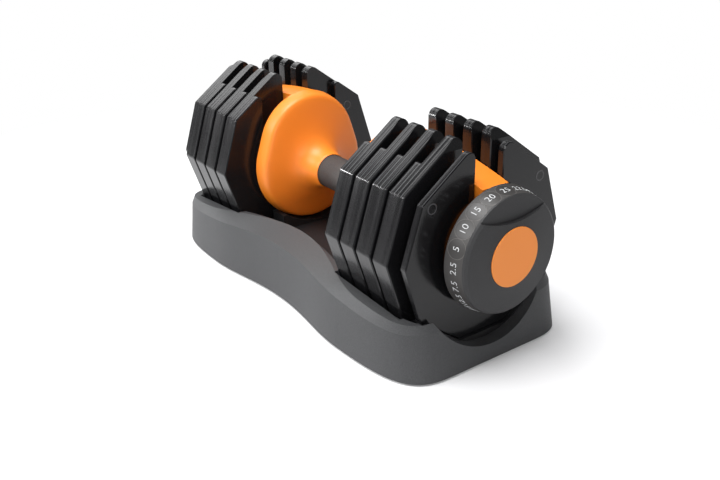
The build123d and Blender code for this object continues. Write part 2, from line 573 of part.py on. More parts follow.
def spine_with_lock_guides():
    """The dial end's spine also guides the yoke and seats the lock and detent springs."""
    body = spine()
    guide = box(LOCK_X, FLANGE_X, YOKE_STEM_HALF + REST_GAP, YOKE_STEM_HALF + REST_GAP + GUIDE_WALL,
                AXIS_HEIGHT - GUIDE_BELOW, AXIS_HEIGHT - GUIDE_BELOW + GUIDE_HEIGHT)
    body += guide + mirror(guide, about=Plane.XZ)
    seat_z = AXIS_HEIGHT + yoke_top() + SPRING_LENGTH
    body += box(WEB_X + WEB_THICKNESS, FLANGE_X, -SPRING_SEAT_HALF, SPRING_SEAT_HALF,
                seat_z, seat_z + GUIDE_WALL)
    pocket = Pos(0, DETENT_CIRCLE) * Circle(DETENT_BALL_RADIUS + 0.1)
    return body - slab(pocket, DETENT_FLOOR_X, SPINE_END_X + 1)


def shaft_bush(x_start, length):
    """Flanged bush, its flange on the side away from x_start."""
    sleeve = slab(Circle(BUSH_RADIUS) - Circle(SHAFT_RADIUS + SHAFT_FIT), x_start, x_start + length)
    flange = slab(Circle(BUSH_FLANGE_RADIUS) - Circle(SHAFT_RADIUS + SHAFT_FIT),
                  x_start + length, x_start + length + BUSH_FLANGE_THICKNESS)
    return sleeve + flange


def shaft_bushes():
    inner = shaft_bush(TUBE_END_X + 0.5, WEB_X + WEB_THICKNESS - TUBE_END_X - 0.5)
    outer = shaft_bush(SPINE_END_X - END_PLATE_THICKNESS, END_PLATE_THICKNESS)
    return Compound([inner, outer, mirrored(inner), mirrored(outer)])


def grip_tube():
    return slab(Circle(TUBE_RADIUS) - Circle(TUBE_RADIUS - TUBE_WALL), -TUBE_END_X, TUBE_END_X)


def grip_sleeve():
    return slab(Circle(SLEEVE_RADIUS) - Circle(TUBE_RADIUS + 0.1), -SLEEVE_END_X, SLEEVE_END_X)


def end_cap():
    """Plain cap on the far end, as deep and as wide as the dial, drawn at +X."""
    back = SPINE_END_X + CAP_GAP
    core = CAP_SCREW_CIRCLE - CAP_LIP_DEPTH
    profile = [(back, core), (back, DIAL_BACK_RADIUS - EDGE_BREAK), (back + EDGE_BREAK, DIAL_BACK_RADIUS)]
    profile += dial_rim() + [(DIAL_DOME_X, BADGE_RADIUS), (BADGE_FACE_X, BADGE_RADIUS), (BADGE_FACE_X, 0)]
    profile += [(DIAL_FACE_X - RING_WALL, 0), (DIAL_FACE_X - RING_WALL, core)]
    cap = turned(profile)
    hole = Pos(0, CAP_SCREW_CIRCLE) * Circle(SCREW_RADIUS + SCREW_FIT)
    for angle in CAP_SCREW_ANGLES:
        cap -= slab(Rot(0, 0, angle) * hole, back - 1, CAP_LIP_END_X)
    return cap


def x_screws(x_head, length, circle, angles, side):
    """Screws along X on a circle round the axis, each with its head's bearing face at x_head."""
    screws = []
    for angle in angles:
        place = Rot(0, 0, angle) * Pos(0, circle)
        head_ends = sorted((x_head, x_head - side * SCREW_HEAD_HEIGHT))
        head = slab(place * RegularPolygon(SCREW_HEAD_RADIUS, 6), *head_ends)
        shank = slab(place * Circle(SCREW_RADIUS), *sorted((x_head, x_head + side * length)))
        screws.append(head + shank)
    return screws


def guard_screws():
    """Through each spine's flange into the bosses of its guard disc."""
    length = FLANGE_THICKNESS + SCREW_DEPTH - 0.5
    screws = x_screws(GUARD_BACK_X, length, GUARD_SCREW_CIRCLE, GUARD_SCREW_ANGLES, -1)
    return Compound(screws + [mirrored(screw) for screw in screws])


def cap_screws():
    """Through the far end plate into the lip of the end cap, drawn at +X."""
    head_x = SPINE_END_X - END_PLATE_THICKNESS + SCREW_HEAD_HEIGHT + 0.2
    length = CAP_LIP_END_X - 0.5 - head_x
    return Compound(x_screws(head_x, length, CAP_SCREW_CIRCLE, CAP_SCREW_ANGLES, 1))


# ---------------------------------------------------------------- lock
def yoke_top():
    """Top of the yoke above the axis, docked."""
    return LOCK_WHEEL_RADIUS + LOCK_LIFT_CLEARANCE + NOTCH_DEPTH + YOKE_BAR


def lock_yoke():
    """Frame around the lock wheel: a tooth above, a stem and foot below."""
    top = yoke_top()
    inner_top = top - YOKE_BAR
    inner_bottom = -LOCK_WHEEL_RADIUS - 1.5
    half_out = YOKE_HALF_OPENING + YOKE_RAIL
    height = inner_top - inner_bottom
    middle = Pos(0, (inner_top + inner_bottom) / 2)
    outer = middle * Rectangle(2 * half_out, height + 2 * YOKE_BAR)
    opening = middle * Rectangle(2 * YOKE_HALF_OPENING, height)
    tooth_tip = LOCK_WHEEL_RADIUS + LOCK_LIFT_CLEARANCE
    tooth = Pos(0, (tooth_tip + inner_top) / 2) * Rectangle(NOTCH_WIDTH - 0.6, inner_top - tooth_tip + 0.01)
    stem_top = inner_bottom - YOKE_BAR
    stem_middle = Pos(0, (stem_top - YOKE_FOOT_BELOW) / 2)
    stem = stem_middle * Rectangle(2 * YOKE_STEM_HALF, YOKE_FOOT_BELOW + stem_top)
    return slab(outer - opening + tooth + stem, LOCK_X, LOCK_X + LOCK_THICKNESS)


def coil_spring(radius, wire, length, turns):
    """Compression spring along Z from z = 0, its square wire bent in short straight lengths."""
    count = turns * COIL_BENDS
    rise = (length - 2 * wire) / count
    stations = []
    for k in range(count + 1):
        angle = radians(360.0 * k / COIL_BENDS)
        stations.append((angle, wire + k * rise))
    sections = []
    for angle, z in stations:
        place = Plane(origin=(radius * cos(angle), radius * sin(angle), z), x_dir=(cos(angle), sin(angle), 0),
                      z_dir=(-sin(angle), cos(angle), 0))
        sections.append(place * Rectangle(2 * wire, 2 * wire))
    return loft(sections, ruled=True)


def lock_spring():
    z_low = AXIS_HEIGHT + yoke_top()
    spring = coil_spring(SPRING_RADIUS, SPRING_WIRE, SPRING_LENGTH, SPRING_TURNS)
    return Pos(LOCK_X + LOCK_THICKNESS / 2, 0, z_low) * spring


def detent_ball():
    """Ball that presses into the dimples of the dial, turned in BALL_BANDS flat bands."""
    turns = [radians(180.0 * k / BALL_BANDS) for k in range(BALL_BANDS + 1)]
    points = [(-DETENT_BALL_RADIUS * cos(turn), DETENT_BALL_RADIUS * sin(turn)) for turn in turns]
    profile = Polygon(*points, align=None)
    x = DIAL_BACK_X - REST_GAP - DETENT_BALL_RADIUS
    return Pos(x, 0, AXIS_HEIGHT + DETENT_CIRCLE) * revolve(Plane.XY * profile, Axis.X)


def detent_spring():
    length = DIAL_BACK_X - REST_GAP - 2 * DETENT_BALL_RADIUS - DETENT_FLOOR_X
    spring = coil_spring(SPRING_RADIUS - SPRING_WIRE, SPRING_WIRE, length, 3)
    return Pos(DETENT_FLOOR_X, 0, AXIS_HEIGHT + DETENT_CIRCLE) * Rot(0, 90, 0) * spring


# ---------------------------------------------------------------- stand
# Seen from above, each quarter of an outline swings out from the waist to its widest point,
# rounds the corner and ends in a short straight run across the end.
def quarter(waist, wide_x, wide_y, end_x, heights):
    """Edges of one quarter outline at -Y, at the heights of its waist, widest point and end."""
    at_waist, at_widest, at_end = heights
    out = SWING_SHARE * wide_x
    across = CORNER_SHARE * (end_x - wide_x)
    fall = 0 if at_waist == at_end else STAND_FALL
    swing = Bezier((0, -waist, at_waist), (WAIST_SHARE * wide_x, -waist, at_waist),
                   (wide_x - out, -wide_y, at_widest + fall * out), (wide_x, -wide_y, at_widest))
    corner_y = STAND_END_FLAT + CORNER_SHARE * (wide_y - STAND_END_FLAT)
    corner = Bezier((wide_x, -wide_y, at_widest), (wide_x + across, -wide_y, at_widest - fall * across),
                    (end_x, -corner_y, at_end), (end_x, -STAND_END_FLAT, at_end))
    return [swing, corner, Line((end_x, -STAND_END_FLAT, at_end), (end_x, 0, at_end))]


def closed_outline(*sizes):
    """The quarter outline and its three mirror images."""
    edges = [Edge(edge.wrapped) for edge in quarter(*sizes)]
    right = edges + [edge.mirror(Plane.XZ) for edge in edges]
    return right + [edge.mirror(Plane.YZ) for edge in right]


def foot_outline():
    """Outer outline of the stand at its foot."""
    return closed_outline(STAND_HALF_WIDTH - WAIST_DEPTH, STAND_WIDEST_X, STAND_HALF_WIDTH,
                          STAND_HALF_LENGTH, [STAND_BOTTOM] * 3)


def crease_outline():
    """Where the outer wall turns into the sloped shoulder."""
    return closed_outline(STAND_HALF_WIDTH - WAIST_DEPTH - STAND_DRAFT, STAND_WIDEST_X,
                          STAND_HALF_WIDTH - STAND_DRAFT, STAND_TOP_LENGTH - STAND_DRAFT, CREASE_HEIGHTS)


def lip_outline():
    """Edge of the opening, at the top of the shoulder."""
    return closed_outline(STAND_HALF_WIDTH - LIP_WAIST_INSET, LIP_WIDEST_X, STAND_HALF_WIDTH - LIP_INSET,
                          STAND_TOP_LENGTH - LIP_END_INSET, LIP_HEIGHTS)


def brim_outline(heights, inset=0.0):
    """Inner edge of the surface that falls gently inward from the lip."""
    length = STAND_TOP_LENGTH - LIP_END_INSET - BRIM_END_INSET
    return closed_outline(STAND_HALF_WIDTH - LIP_WAIST_INSET - BRIM_WAIST_INSET - inset, LIP_WIDEST_X,
                          STAND_HALF_WIDTH - LIP_INSET - BRIM_INSET - inset, length - inset, heights)


def ruled_wall(low, high):
    return [Face.make_surface_from_curves(a, b) for a, b in zip(low, high)]


def stand_tub():
    """Outer wall, sloped shoulder, brim, inner wall and floor, sewn into one solid."""
    foot = foot_outline()
    crease = crease_outline()
    lip = lip_outline()
    brim = brim_outline(BRIM_HEIGHTS)
    floor = brim_outline([STAND_FLOOR] * 3, TUB_DRAFT)
    faces = ruled_wall(foot, crease) + ruled_wall(crease, lip)
    faces += ruled_wall(lip, brim) + ruled_wall(brim, floor)
    faces.append(Face(Wire(foot)))
    faces.append(Face(Wire(floor)))
    return Solid(Shell(faces))


def well_section(radius, floor, clearance):
    """Section of a well: the lower half of a plate's outline with room around it."""
    bottom = radius * sin(radians(SIDE_ANGLE / 2)) + clearance
    low_side = radius * cos(radians(SIDE_ANGLE)) + clearance
    side_z = -radius * sin(radians(SIDE_ANGLE))
    half = [(bottom, floor), (low_side, side_z), (radius, WELL_TOP)]
    return Polygon(*half, *[(-y, z) for y, z in reversed(half)], align=None)


def well_cutters():
    floor = WELL_FLOOR - AXIS_HEIGHT
    main = well_section(PLATE_RADIUS, floor, WELL_CLEARANCE)
    end = well_section(SMALL_PLATE_RADIUS, floor, WELL_CLEARANCE / 2)
    return slab(main, WELL_START_X, WELL_SPLIT_X) + slab(end, WELL_SPLIT_X, WELL_END_X)


def well_shell():
    """What stays solid around a well when the stand is hollowed from below."""
    section = well_section(PLATE_RADIUS, WELL_FLOOR - WELL_WALL - AXIS_HEIGHT, WELL_CLEARANCE + WELL_WALL)
    return slab(section, WELL_START_X - WELL_WALL, WELL_END_X + WELL_WALL)


def underside_hollow():
    """Room under the stand's floor, with ribs across it and a boss over each foot."""
    corner_x = STAND_TOP_LENGTH - CORNER_CUT
    waist_y = STAND_HALF_WIDTH - WAIST_DEPTH - STAND_WALL
    wide_y = STAND_HALF_WIDTH - STAND_WALL
    side = [(0, waist_y), (STAND_WIDEST_X / 2, waist_y + WAIST_DEPTH / 3), (STAND_WIDEST_X, wide_y),
            (corner_x, wide_y - STAND_WALL), (STAND_TOP_LENGTH - STAND_WALL, STAND_END_FLAT)]
    side = side + [(x, -y) for x, y in reversed(side)]
    side = side[:-1] + [(-x, y) for x, y in reversed(side)][:-1]
    room = extrude(Polygon(*side, align=None), amount=STAND_CEILING, dir=(0, 0, 1))
    room = room - well_shell() - mirrored(well_shell())
    for x in (-STAND_RIB_PITCH, 0, STAND_RIB_PITCH):
        room -= box(x - STAND_RIB / 2, x + STAND_RIB / 2, -PLATE_RADIUS, PLATE_RADIUS, 0, STAND_CEILING)
    for x, y in foot_places():
        room -= upright(FOOT_RADIUS + STAND_RIB, x, y, 0, STAND_CEILING)
    return room


def side_pocket():
    """Room under the shoulder at -Y, above the ceiling of the main room."""
    outer_y = STAND_HALF_WIDTH - WAIST_DEPTH - STAND_DRAFT - STAND_WALL
    inner_y = outer_y - SIDE_POCKET_LOW
    end_y = outer_y - STAND_WALL
    half = [(0, -inner_y), (SIDE_POCKET_HALF / 2, -inner_y - STAND_WALL), (SIDE_POCKET_HALF, -end_y),
            (SIDE_POCKET_HALF, -outer_y)]
    outline = half + [(-x, y) for x, y in reversed(half)][:-1]
    pocket = extrude(Polygon(*outline, align=None), amount=SIDE_POCKET_HIGH, dir=(0, 0, 1))
    return Pos(0, 0, STAND_CEILING) * pocket


def stand_shell():
    wells = well_cutters()
    body = stand_tub() - wells - mirrored(wells) - underside_hollow()
    pocket = side_pocket()
    body = body - pocket - pocket.mirror(Plane.XZ)
    bay = slab(Pos(0, -BAY_DROP) * Circle(BAY_RADIUS), WELL_END_X - 1, STAND_HALF_LENGTH + 1)
    body = body - bay - mirrored(bay)
    for x, y in foot_places():
        body -= upright(FOOT_RADIUS + SCREW_FIT, x, y, 0, FOOT_HEIGHT)
    for x, y, z in stand_screw_places():
        body -= upright(SCREW_RADIUS + SCREW_FIT, x, y, 0, z + STAND_FLOOR / 2)
    return body


def foot_places():
    return [(sx * FOOT_X, sy * FOOT_Y) for sx in (-1, 1) for sy in (-1, 1)]


def stand_screw_places():
    """x, y and the underside that each screw head bears on."""
    cradle = [(sx * x, 0, WELL_FLOOR - WELL_WALL) for sx in (-1, 1) for x in (GAP_XS[0], GAP_XS[-1])]
    tray = [(sx * TRAY_SCREW_X, sy * TRAY_SCREW_X, STAND_CEILING) for sx in (-1, 1) for sy in (-1, 1)]
    return cradle + tray


def stand_screws():
    screws = []
    for x, y, z in stand_screw_places():
        head = extrude(RegularPolygon(SCREW_HEAD_RADIUS, 6), SCREW_HEAD_HEIGHT)
        head = Pos(x, y, z - SCREW_HEAD_HEIGHT) * head
        screws.append(head + upright(SCREW_RADIUS, x, y, z, z + SCREW_BITE))
    return Compound(screws)


def stand_feet():
    return Compound([upright(FOOT_RADIUS, x, y, 0, FOOT_HEIGHT) for x, y in foot_places()])


def lower_half(radius, clearance, floor_gap):
    """Lower outline of a plate, let out by the clearance, up to the cradle's top."""
    grow = (radius + clearance) / radius
    angles = [SIDE_ANGLE * k for k in (9, 8, 7, 6)]
    points = [(radius * grow * cos(radians(a)), radius * grow * sin(radians(a))) for a in angles]
    points[1] = (points[1][0], -radius * cos(radians(SIDE_ANGLE / 2)) - floor_gap)
    points[2] = (points[2][0], points[1][1])
    return Polygon((points[0][0], 0), *points, (points[3][0], 0), align=None)


def plate_cradle():
    """V-shaped liner of a well, with a rib in each gap between two plates."""
    floor = WELL_FLOOR - AXIS_HEIGHT
    height = Pos(0, floor + CRADLE_HEIGHT / 2) * Rectangle(4 * PLATE_RADIUS, CRADLE_HEIGHT)
    outer = well_section(PLATE_RADIUS, floor, WELL_CLEARANCE - CRADLE_FIT) & height
    outer_end = well_section(SMALL_PLATE_RADIUS, floor, WELL_CLEARANCE / 2 - CRADLE_FIT) & height
    inner = lower_half(PLATE_RADIUS, 1.5, REST_GAP)
    inner_end = lower_half(SMALL_PLATE_RADIUS, 1.0, REST_GAP)
    between = lower_half(PLATE_RADIUS - CRADLE_RIB_REACH, 0, 0)
    x_step = WELL_SPLIT_X - CRADLE_FIT
    body = slab(outer, WELL_START_X + CRADLE_FIT, x_step) + slab(outer_end, x_step, WELL_END_X - CRADLE_FIT)
    half_rib = PLATE_GAP / 2 - CRADLE_RIB_GAP
    rib_ends = [(x - half_rib, x + half_rib) for x in GAP_XS]
    rib_ends.append((LAST_PLATE_END + CRADLE_RIB_GAP, SMALL_PLATE_X - CRADLE_RIB_GAP))
    starts = [WELL_START_X] + [high for low, high in rib_ends[:-1]]
    for x_start, (low, high) in zip(starts, rib_ends):
        body -= slab(inner, x_start, low)
        body -= slab(between, low, high)
    body -= slab(inner_end, rib_ends[-1][1], WELL_END_X)
    for x, y, z in stand_screw_places():
        if x > 0 and z < WELL_FLOOR:
            body -= upright(SCREW_RADIUS + SCREW_FIT, x, y, 0, z + SCREW_BITE + REST_GAP)
    return body


def center_tray():
    """Liner between the wells: a saddle under each guard disc and the post for the lock."""
    body = box(-TRAY_HALF_LENGTH, TRAY_HALF_LENGTH, -TRAY_HALF_WIDTH, TRAY_HALF_WIDTH,
               STAND_FLOOR, STAND_FLOOR + TRAY_THICKNESS)
    saddle_start = TRAY_HALF_LENGTH - SADDLE_LENGTH
    saddle = box(saddle_start, TRAY_HALF_LENGTH, -SADDLE_HALF_WIDTH, SADDLE_HALF_WIDTH,
                 STAND_FLOOR, AXIS_HEIGHT - SADDLE_DEPTH)
    saddle -= slab(Circle(RIM_RADIUS + REST_GAP), saddle_start - 1, TRAY_HALF_LENGTH + 1)
    body += saddle + mirrored(saddle)
    x_middle = LOCK_X + LOCK_THICKNESS / 2
    post_top = AXIS_HEIGHT - YOKE_FOOT_BELOW - POST_CLEARANCE
    body += box(x_middle - POST_HALF, x_middle + POST_HALF, -YOKE_STEM_HALF, YOKE_STEM_HALF,
                STAND_FLOOR, post_top)
    for x, y, z in stand_screw_places():
        if z > WELL_FLOOR:
            body -= upright(SCREW_RADIUS + SCREW_FIT, x, y, 0, z + SCREW_BITE + REST_GAP)
    return body


# ---------------------------------------------------------------- build
def build():
    save(stand_shell(), "stand_shell")
    cradle = plate_cradle()
    save(cradle, "plate_cradle_right")
    save(mirrored(cradle), "plate_cradle_left")
    save(center_tray(), "center_tray")
    save(stand_screws(), "stand_screws")
    save(stand_feet(), "stand_feet")

    for k, x in enumerate(PLATE_XS):
        plate = large_plate(x)
        save(plate, f"plate_right_{k + 1}")
        save(mirrored(plate), f"plate_left_{k + 1}")
    plate = small_plate()
    save(plate, "small_plate_right")
    save(mirrored(plate), "small_plate_left")

    for k, (x, run) in enumerate(zip(SELECTOR_XS, SELECTOR_RUNS)):
        disc = selector_disc(x, run)
        save(disc, f"selector_right_{k + 1}")
        save(mirrored(disc), f"selector_left_{k + 1}")
    save(drive_shaft(), "drive_shaft")
    save(shaft_nut(), "shaft_nut")
    save(lock_wheel(), "lock_wheel")
    save(number_ring(), "number_ring")
    save(dial_knob(), "dial_knob")
    save(dial_badge(), "dial_badge")
    save(dial_screw(), "dial_screw")

    save(guard_disc_with_lock_hole(), "guard_disc_right")
    save(mirrored(guard_disc()), "guard_disc_left")
    save(spine_with_lock_guides(), "spine_right")
    save(mirrored(spine_with_cap_screw_holes()), "spine_left")
    save(shaft_bushes(), "shaft_bushes")
    save(guard_screws(), "guard_screws")
    save(mirrored(cap_screws()), "cap_screws")
    save(grip_tube(), "grip_tube")
    save(grip_sleeve(), "grip_sleeve")
    save(mirrored(end_cap()), "end_cap")
    save(lock_yoke(), "lock_yoke")
    save(lock_spring(), "lock_spring")
    save(detent_ball(), "detent_ball")
    save(detent_spring(), "detent_spring")


build()
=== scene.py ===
# %% [markdown]
# # An adjustable dumbbell in its stand
# The solids of the dumbbell come from its CAD model: plates, spines, dial, lock and stand. This lesson gives
# them their finishes, adds the pieces whose curves are too soft for those solids, prints the weights round
# the dial, and lights the whole. Everything is in metres. X runs along the dumbbell with the dial at +X,
# Y runs across it and Z is up.

# %% Load the frame
import json
import math

import bmesh
import bpy
from mathutils import Matrix, Vector
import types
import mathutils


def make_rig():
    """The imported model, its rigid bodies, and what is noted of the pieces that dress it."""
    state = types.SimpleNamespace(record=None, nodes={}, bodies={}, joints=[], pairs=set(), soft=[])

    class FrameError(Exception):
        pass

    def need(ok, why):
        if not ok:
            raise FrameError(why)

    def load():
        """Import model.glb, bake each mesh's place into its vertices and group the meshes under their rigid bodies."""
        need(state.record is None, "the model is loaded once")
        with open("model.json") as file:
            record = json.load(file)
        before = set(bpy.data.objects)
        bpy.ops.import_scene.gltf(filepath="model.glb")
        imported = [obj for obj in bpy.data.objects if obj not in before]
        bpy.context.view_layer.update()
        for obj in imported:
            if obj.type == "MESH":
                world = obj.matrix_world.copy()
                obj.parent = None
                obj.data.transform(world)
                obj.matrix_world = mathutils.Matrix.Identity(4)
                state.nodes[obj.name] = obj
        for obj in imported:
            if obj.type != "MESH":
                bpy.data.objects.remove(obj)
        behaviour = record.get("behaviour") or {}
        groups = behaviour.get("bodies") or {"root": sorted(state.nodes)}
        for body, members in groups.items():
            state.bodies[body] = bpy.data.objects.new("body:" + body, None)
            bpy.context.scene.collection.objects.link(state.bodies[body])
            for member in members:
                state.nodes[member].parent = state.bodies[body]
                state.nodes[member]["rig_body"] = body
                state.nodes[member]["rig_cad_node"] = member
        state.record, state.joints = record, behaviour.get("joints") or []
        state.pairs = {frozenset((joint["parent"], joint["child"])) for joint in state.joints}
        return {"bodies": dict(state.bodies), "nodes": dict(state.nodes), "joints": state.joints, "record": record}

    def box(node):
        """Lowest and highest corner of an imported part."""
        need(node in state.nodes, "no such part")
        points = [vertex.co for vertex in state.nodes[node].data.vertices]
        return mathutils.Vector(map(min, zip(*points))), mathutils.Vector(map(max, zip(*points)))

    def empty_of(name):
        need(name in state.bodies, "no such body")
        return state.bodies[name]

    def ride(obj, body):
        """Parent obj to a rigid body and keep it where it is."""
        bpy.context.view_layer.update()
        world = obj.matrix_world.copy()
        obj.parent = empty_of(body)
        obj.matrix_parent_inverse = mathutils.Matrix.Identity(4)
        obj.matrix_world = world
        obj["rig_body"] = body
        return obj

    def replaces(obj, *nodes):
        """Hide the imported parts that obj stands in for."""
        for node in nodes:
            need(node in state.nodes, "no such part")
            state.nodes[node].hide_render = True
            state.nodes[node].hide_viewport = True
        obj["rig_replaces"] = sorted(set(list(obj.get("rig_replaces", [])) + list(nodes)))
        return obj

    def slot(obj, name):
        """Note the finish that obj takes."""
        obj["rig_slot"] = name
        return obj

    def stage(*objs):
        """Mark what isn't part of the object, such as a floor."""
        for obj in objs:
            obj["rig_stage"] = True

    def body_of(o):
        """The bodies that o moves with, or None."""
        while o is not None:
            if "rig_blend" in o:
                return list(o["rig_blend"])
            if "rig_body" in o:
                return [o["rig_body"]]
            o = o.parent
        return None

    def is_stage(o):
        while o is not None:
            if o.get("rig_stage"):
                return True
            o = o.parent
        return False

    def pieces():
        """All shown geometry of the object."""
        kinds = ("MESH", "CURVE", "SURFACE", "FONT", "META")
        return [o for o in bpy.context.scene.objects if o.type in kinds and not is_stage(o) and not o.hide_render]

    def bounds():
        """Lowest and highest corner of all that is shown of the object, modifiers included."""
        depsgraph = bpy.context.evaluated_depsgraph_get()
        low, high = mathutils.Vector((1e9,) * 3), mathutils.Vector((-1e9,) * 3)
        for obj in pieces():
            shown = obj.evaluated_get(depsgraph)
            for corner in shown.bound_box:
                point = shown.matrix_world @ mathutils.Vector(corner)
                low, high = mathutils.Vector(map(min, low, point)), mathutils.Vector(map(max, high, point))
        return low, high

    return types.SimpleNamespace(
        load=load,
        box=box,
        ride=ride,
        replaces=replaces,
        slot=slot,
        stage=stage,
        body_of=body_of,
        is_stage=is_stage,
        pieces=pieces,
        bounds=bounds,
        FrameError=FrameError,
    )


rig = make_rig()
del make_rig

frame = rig.load()
cad_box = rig.bounds()
nodes = frame["nodes"]
print("nodes", len(nodes), "bodies", sorted(frame["bodies"]))

# %% [markdown]
# ## The camera
# The view is from the dial's end, a little above, turned so that both heads and the grip show. A camera
# could follow an empty through a constraint. Two places say the same with less: one that it stands on and
# one that it looks at. A small roll about its own direction then levels the picture.

# %% Place the camera
CAMERA_PLACE = Vector((0.6324, -0.4529, 0.3906))
CAMERA_TARGET = Vector((0.0124, 0.0, 0.0407))
CAMERA_LENS = 44.09
CAMERA_FILM = 36.0
CAMERA_ROLL = math.radians(-0.85)


def aimed(place, target):
    """The matrix of something that stands at place and looks at target, as cameras and lamps do along -Z."""
    turn = (target - place).to_track_quat("-Z", "Y").to_matrix().to_4x4()
    return Matrix.Translation(place) @ turn


camera = bpy.data.objects.new("camera", bpy.data.cameras.new("camera"))
bpy.context.scene.collection.objects.link(camera)
camera.data.lens = CAMERA_LENS
camera.data.sensor_width = CAMERA_FILM
camera.matrix_world = aimed(CAMERA_PLACE, CAMERA_TARGET) @ Matrix.Rotation(CAMERA_ROLL, 4, "Z")
bpy.context.scene.camera = camera
print("camera distance", round((CAMERA_TARGET - CAMERA_PLACE).length, 3))

# %% [markdown]
# ## Writing a finish as a sum
# A finish is a tree of nodes, and most of its nodes only add, multiply or compare. Placed one by one they
# fill a page before they say anything. So a socket is wrapped in a small class whose signs add Math nodes,
# and a pattern can be written as it is thought of: the distance from a line, less than its width.

# %% A socket that can be reckoned with
class Wire:
    """A socket's output that takes part in arithmetic: each sign adds one Math node."""

    def __init__(self, finish, socket):
        self.finish = finish
        self.socket = socket

    def maths(self, operation, first, second):
        return self.finish.node("ShaderNodeMath", {"operation": operation}, {0: first, 1: second})

    def __add__(self, other):
        return self.maths("ADD", self, other)

    def __radd__(self, other):
        return self.maths("ADD", other, self)

    def __sub__(self, other):
        return self.maths("SUBTRACT", self, other)

    def __rsub__(self, other):
        return self.maths("SUBTRACT", other, self)

    def __mul__(self, other):
        return self.maths("MULTIPLY", self, other)

    def __rmul__(self, other):
        return self.maths("MULTIPLY", other, self)

    def __truediv__(self, other):
        return self.maths("DIVIDE", self, other)

    def __mod__(self, other):
        return self.maths("FLOORED_MODULO", self, other)

    def __pow__(self, other):
        return self.maths("POWER", self, other)

    def __lt__(self, other):
        return self.maths("LESS_THAN", self, other)

    def __gt__(self, other):
        return self.maths("GREATER_THAN", self, other)

    def __abs__(self):
        return self.maths("ABSOLUTE", self, 0.0)

    def __round__(self):
        return self.maths("ROUND", self, 0.0)


print("a socket takes + - * / % ** < > abs and round")

# %% [markdown]
# Every other node comes from one method, which is told the node's type, its settings and what goes into its
# sockets. The settings are made first, because a Math or Mix node changes its sockets with them. The short
# methods after it name what the finishes of this dumbbell keep asking for: where a point is, which way the
# surface faces there, a noise, a ramp from dark to light, a blend of two colours and a relief.

# %% A finish and its nodes
class Finish:
    """A material, or the world round the dumbbell, made from nodes."""

    def __init__(self, name, owner=None):
        self.owner = owner or bpy.data.materials.new(name)
        self.owner.use_nodes = True
        self.tree = self.owner.node_tree
        self.tree.nodes.clear()

    def node(self, kind, settings=None, inputs=None, output=0):
        made = self.tree.nodes.new(kind)
        for key, value in (settings or {}).items():
            if key == "stops":
                self.set_stops(made.color_ramp, value)
            else:
                setattr(made, key, value)
        for key, value in (inputs or {}).items():
            if isinstance(value, Wire):
                self.tree.links.new(value.socket, made.inputs[key])
            else:
                made.inputs[key].default_value = value
        return Wire(self, made.outputs[output]) if len(made.outputs) else None

    def set_stops(self, ramp, stops):
        while len(ramp.elements) < len(stops):
            ramp.elements.new(0.5)
        for element, (place, level) in zip(ramp.elements, stops):
            element.position = place
            element.color = (level, level, level, 1)

    def places(self):
        return self.node("ShaderNodeTexCoord", output="Object")

    def axis(self, name):
        """Where the point is along one axis."""
        return self.node("ShaderNodeSeparateXYZ", inputs={0: self.places()}, output=name)

    def normal(self):
        return self.node("ShaderNodeNewGeometry", output="Normal")

    def facing(self, name):
        """How far the surface faces along one axis, from -1 to 1."""
        return self.node("ShaderNodeSeparateXYZ", inputs={0: self.normal()}, output=name)

    def noise(self, scale, detail=2.0, roughness=0.5, stretch=None):
        places = self.places()
        if stretch is not None:
            places = self.node("ShaderNodeMapping", inputs={"Vector": places, "Scale": stretch})
        values = {"Vector": places, "Scale": scale, "Detail": detail, "Roughness": roughness}
        return self.node("ShaderNodeTexNoise", {"noise_dimensions": "3D"}, values)

    def ramp(self, factor, *stops):
        return self.node("ShaderNodeValToRGB", {"stops": stops}, {0: factor})

    def blend(self, factor, first, second):
        return self.node("ShaderNodeMix", {"data_type": "RGBA"}, {0: factor, 6: first, 7: second}, output=2)

    def relief(self, height, depth, normal=None):
        values = {"Height": height, "Distance": depth, "Strength": 1.0}
        if normal is not None:
            values["Normal"] = normal
        return self.node("ShaderNodeBump", inputs=values)

    def shade(self, **sockets):
        """Ends the material in a Principled surface: base_color is its socket Base Color, and so on."""
        names = {key.replace("_", " ").title().replace("Ior", "IOR"): value for key, value in sockets.items()}
        return self.done(self.node("ShaderNodeBsdfPrincipled", inputs=names))

    def done(self, surface, kind="ShaderNodeOutputMaterial"):
        self.node(kind, inputs={"Surface": surface})
        return self.owner


print("methods of a finish:", sorted(name for name in vars(Finish) if not name.startswith("_")))

# %% [markdown]
# ## Floor and room
# A product like this one stands on a sweep of white paper. A plane of pure light would be as white, but it
# would take no shadow, and the dumbbell would float. So the floor is paper that the lamps light. What is
# seen of it directly is lifted by a little light of its own, and away from the stand it passes into pure
# white. The gloss mirrors only the paper and not that white, so the lower faces of the plates stay dark.

# %% Floor
WHITE = (1, 1, 1, 1)
FLOOR_SIZE = 14.0
FLOOR_DROP = 0.0002
FLOOR_LIFT = 0.16
PAPER_DARK = (0.64, 0.64, 0.65, 1)
PAPER_LIGHT = (0.68, 0.68, 0.68, 1)
FADE_START = 0.34
FADE_END = 0.70


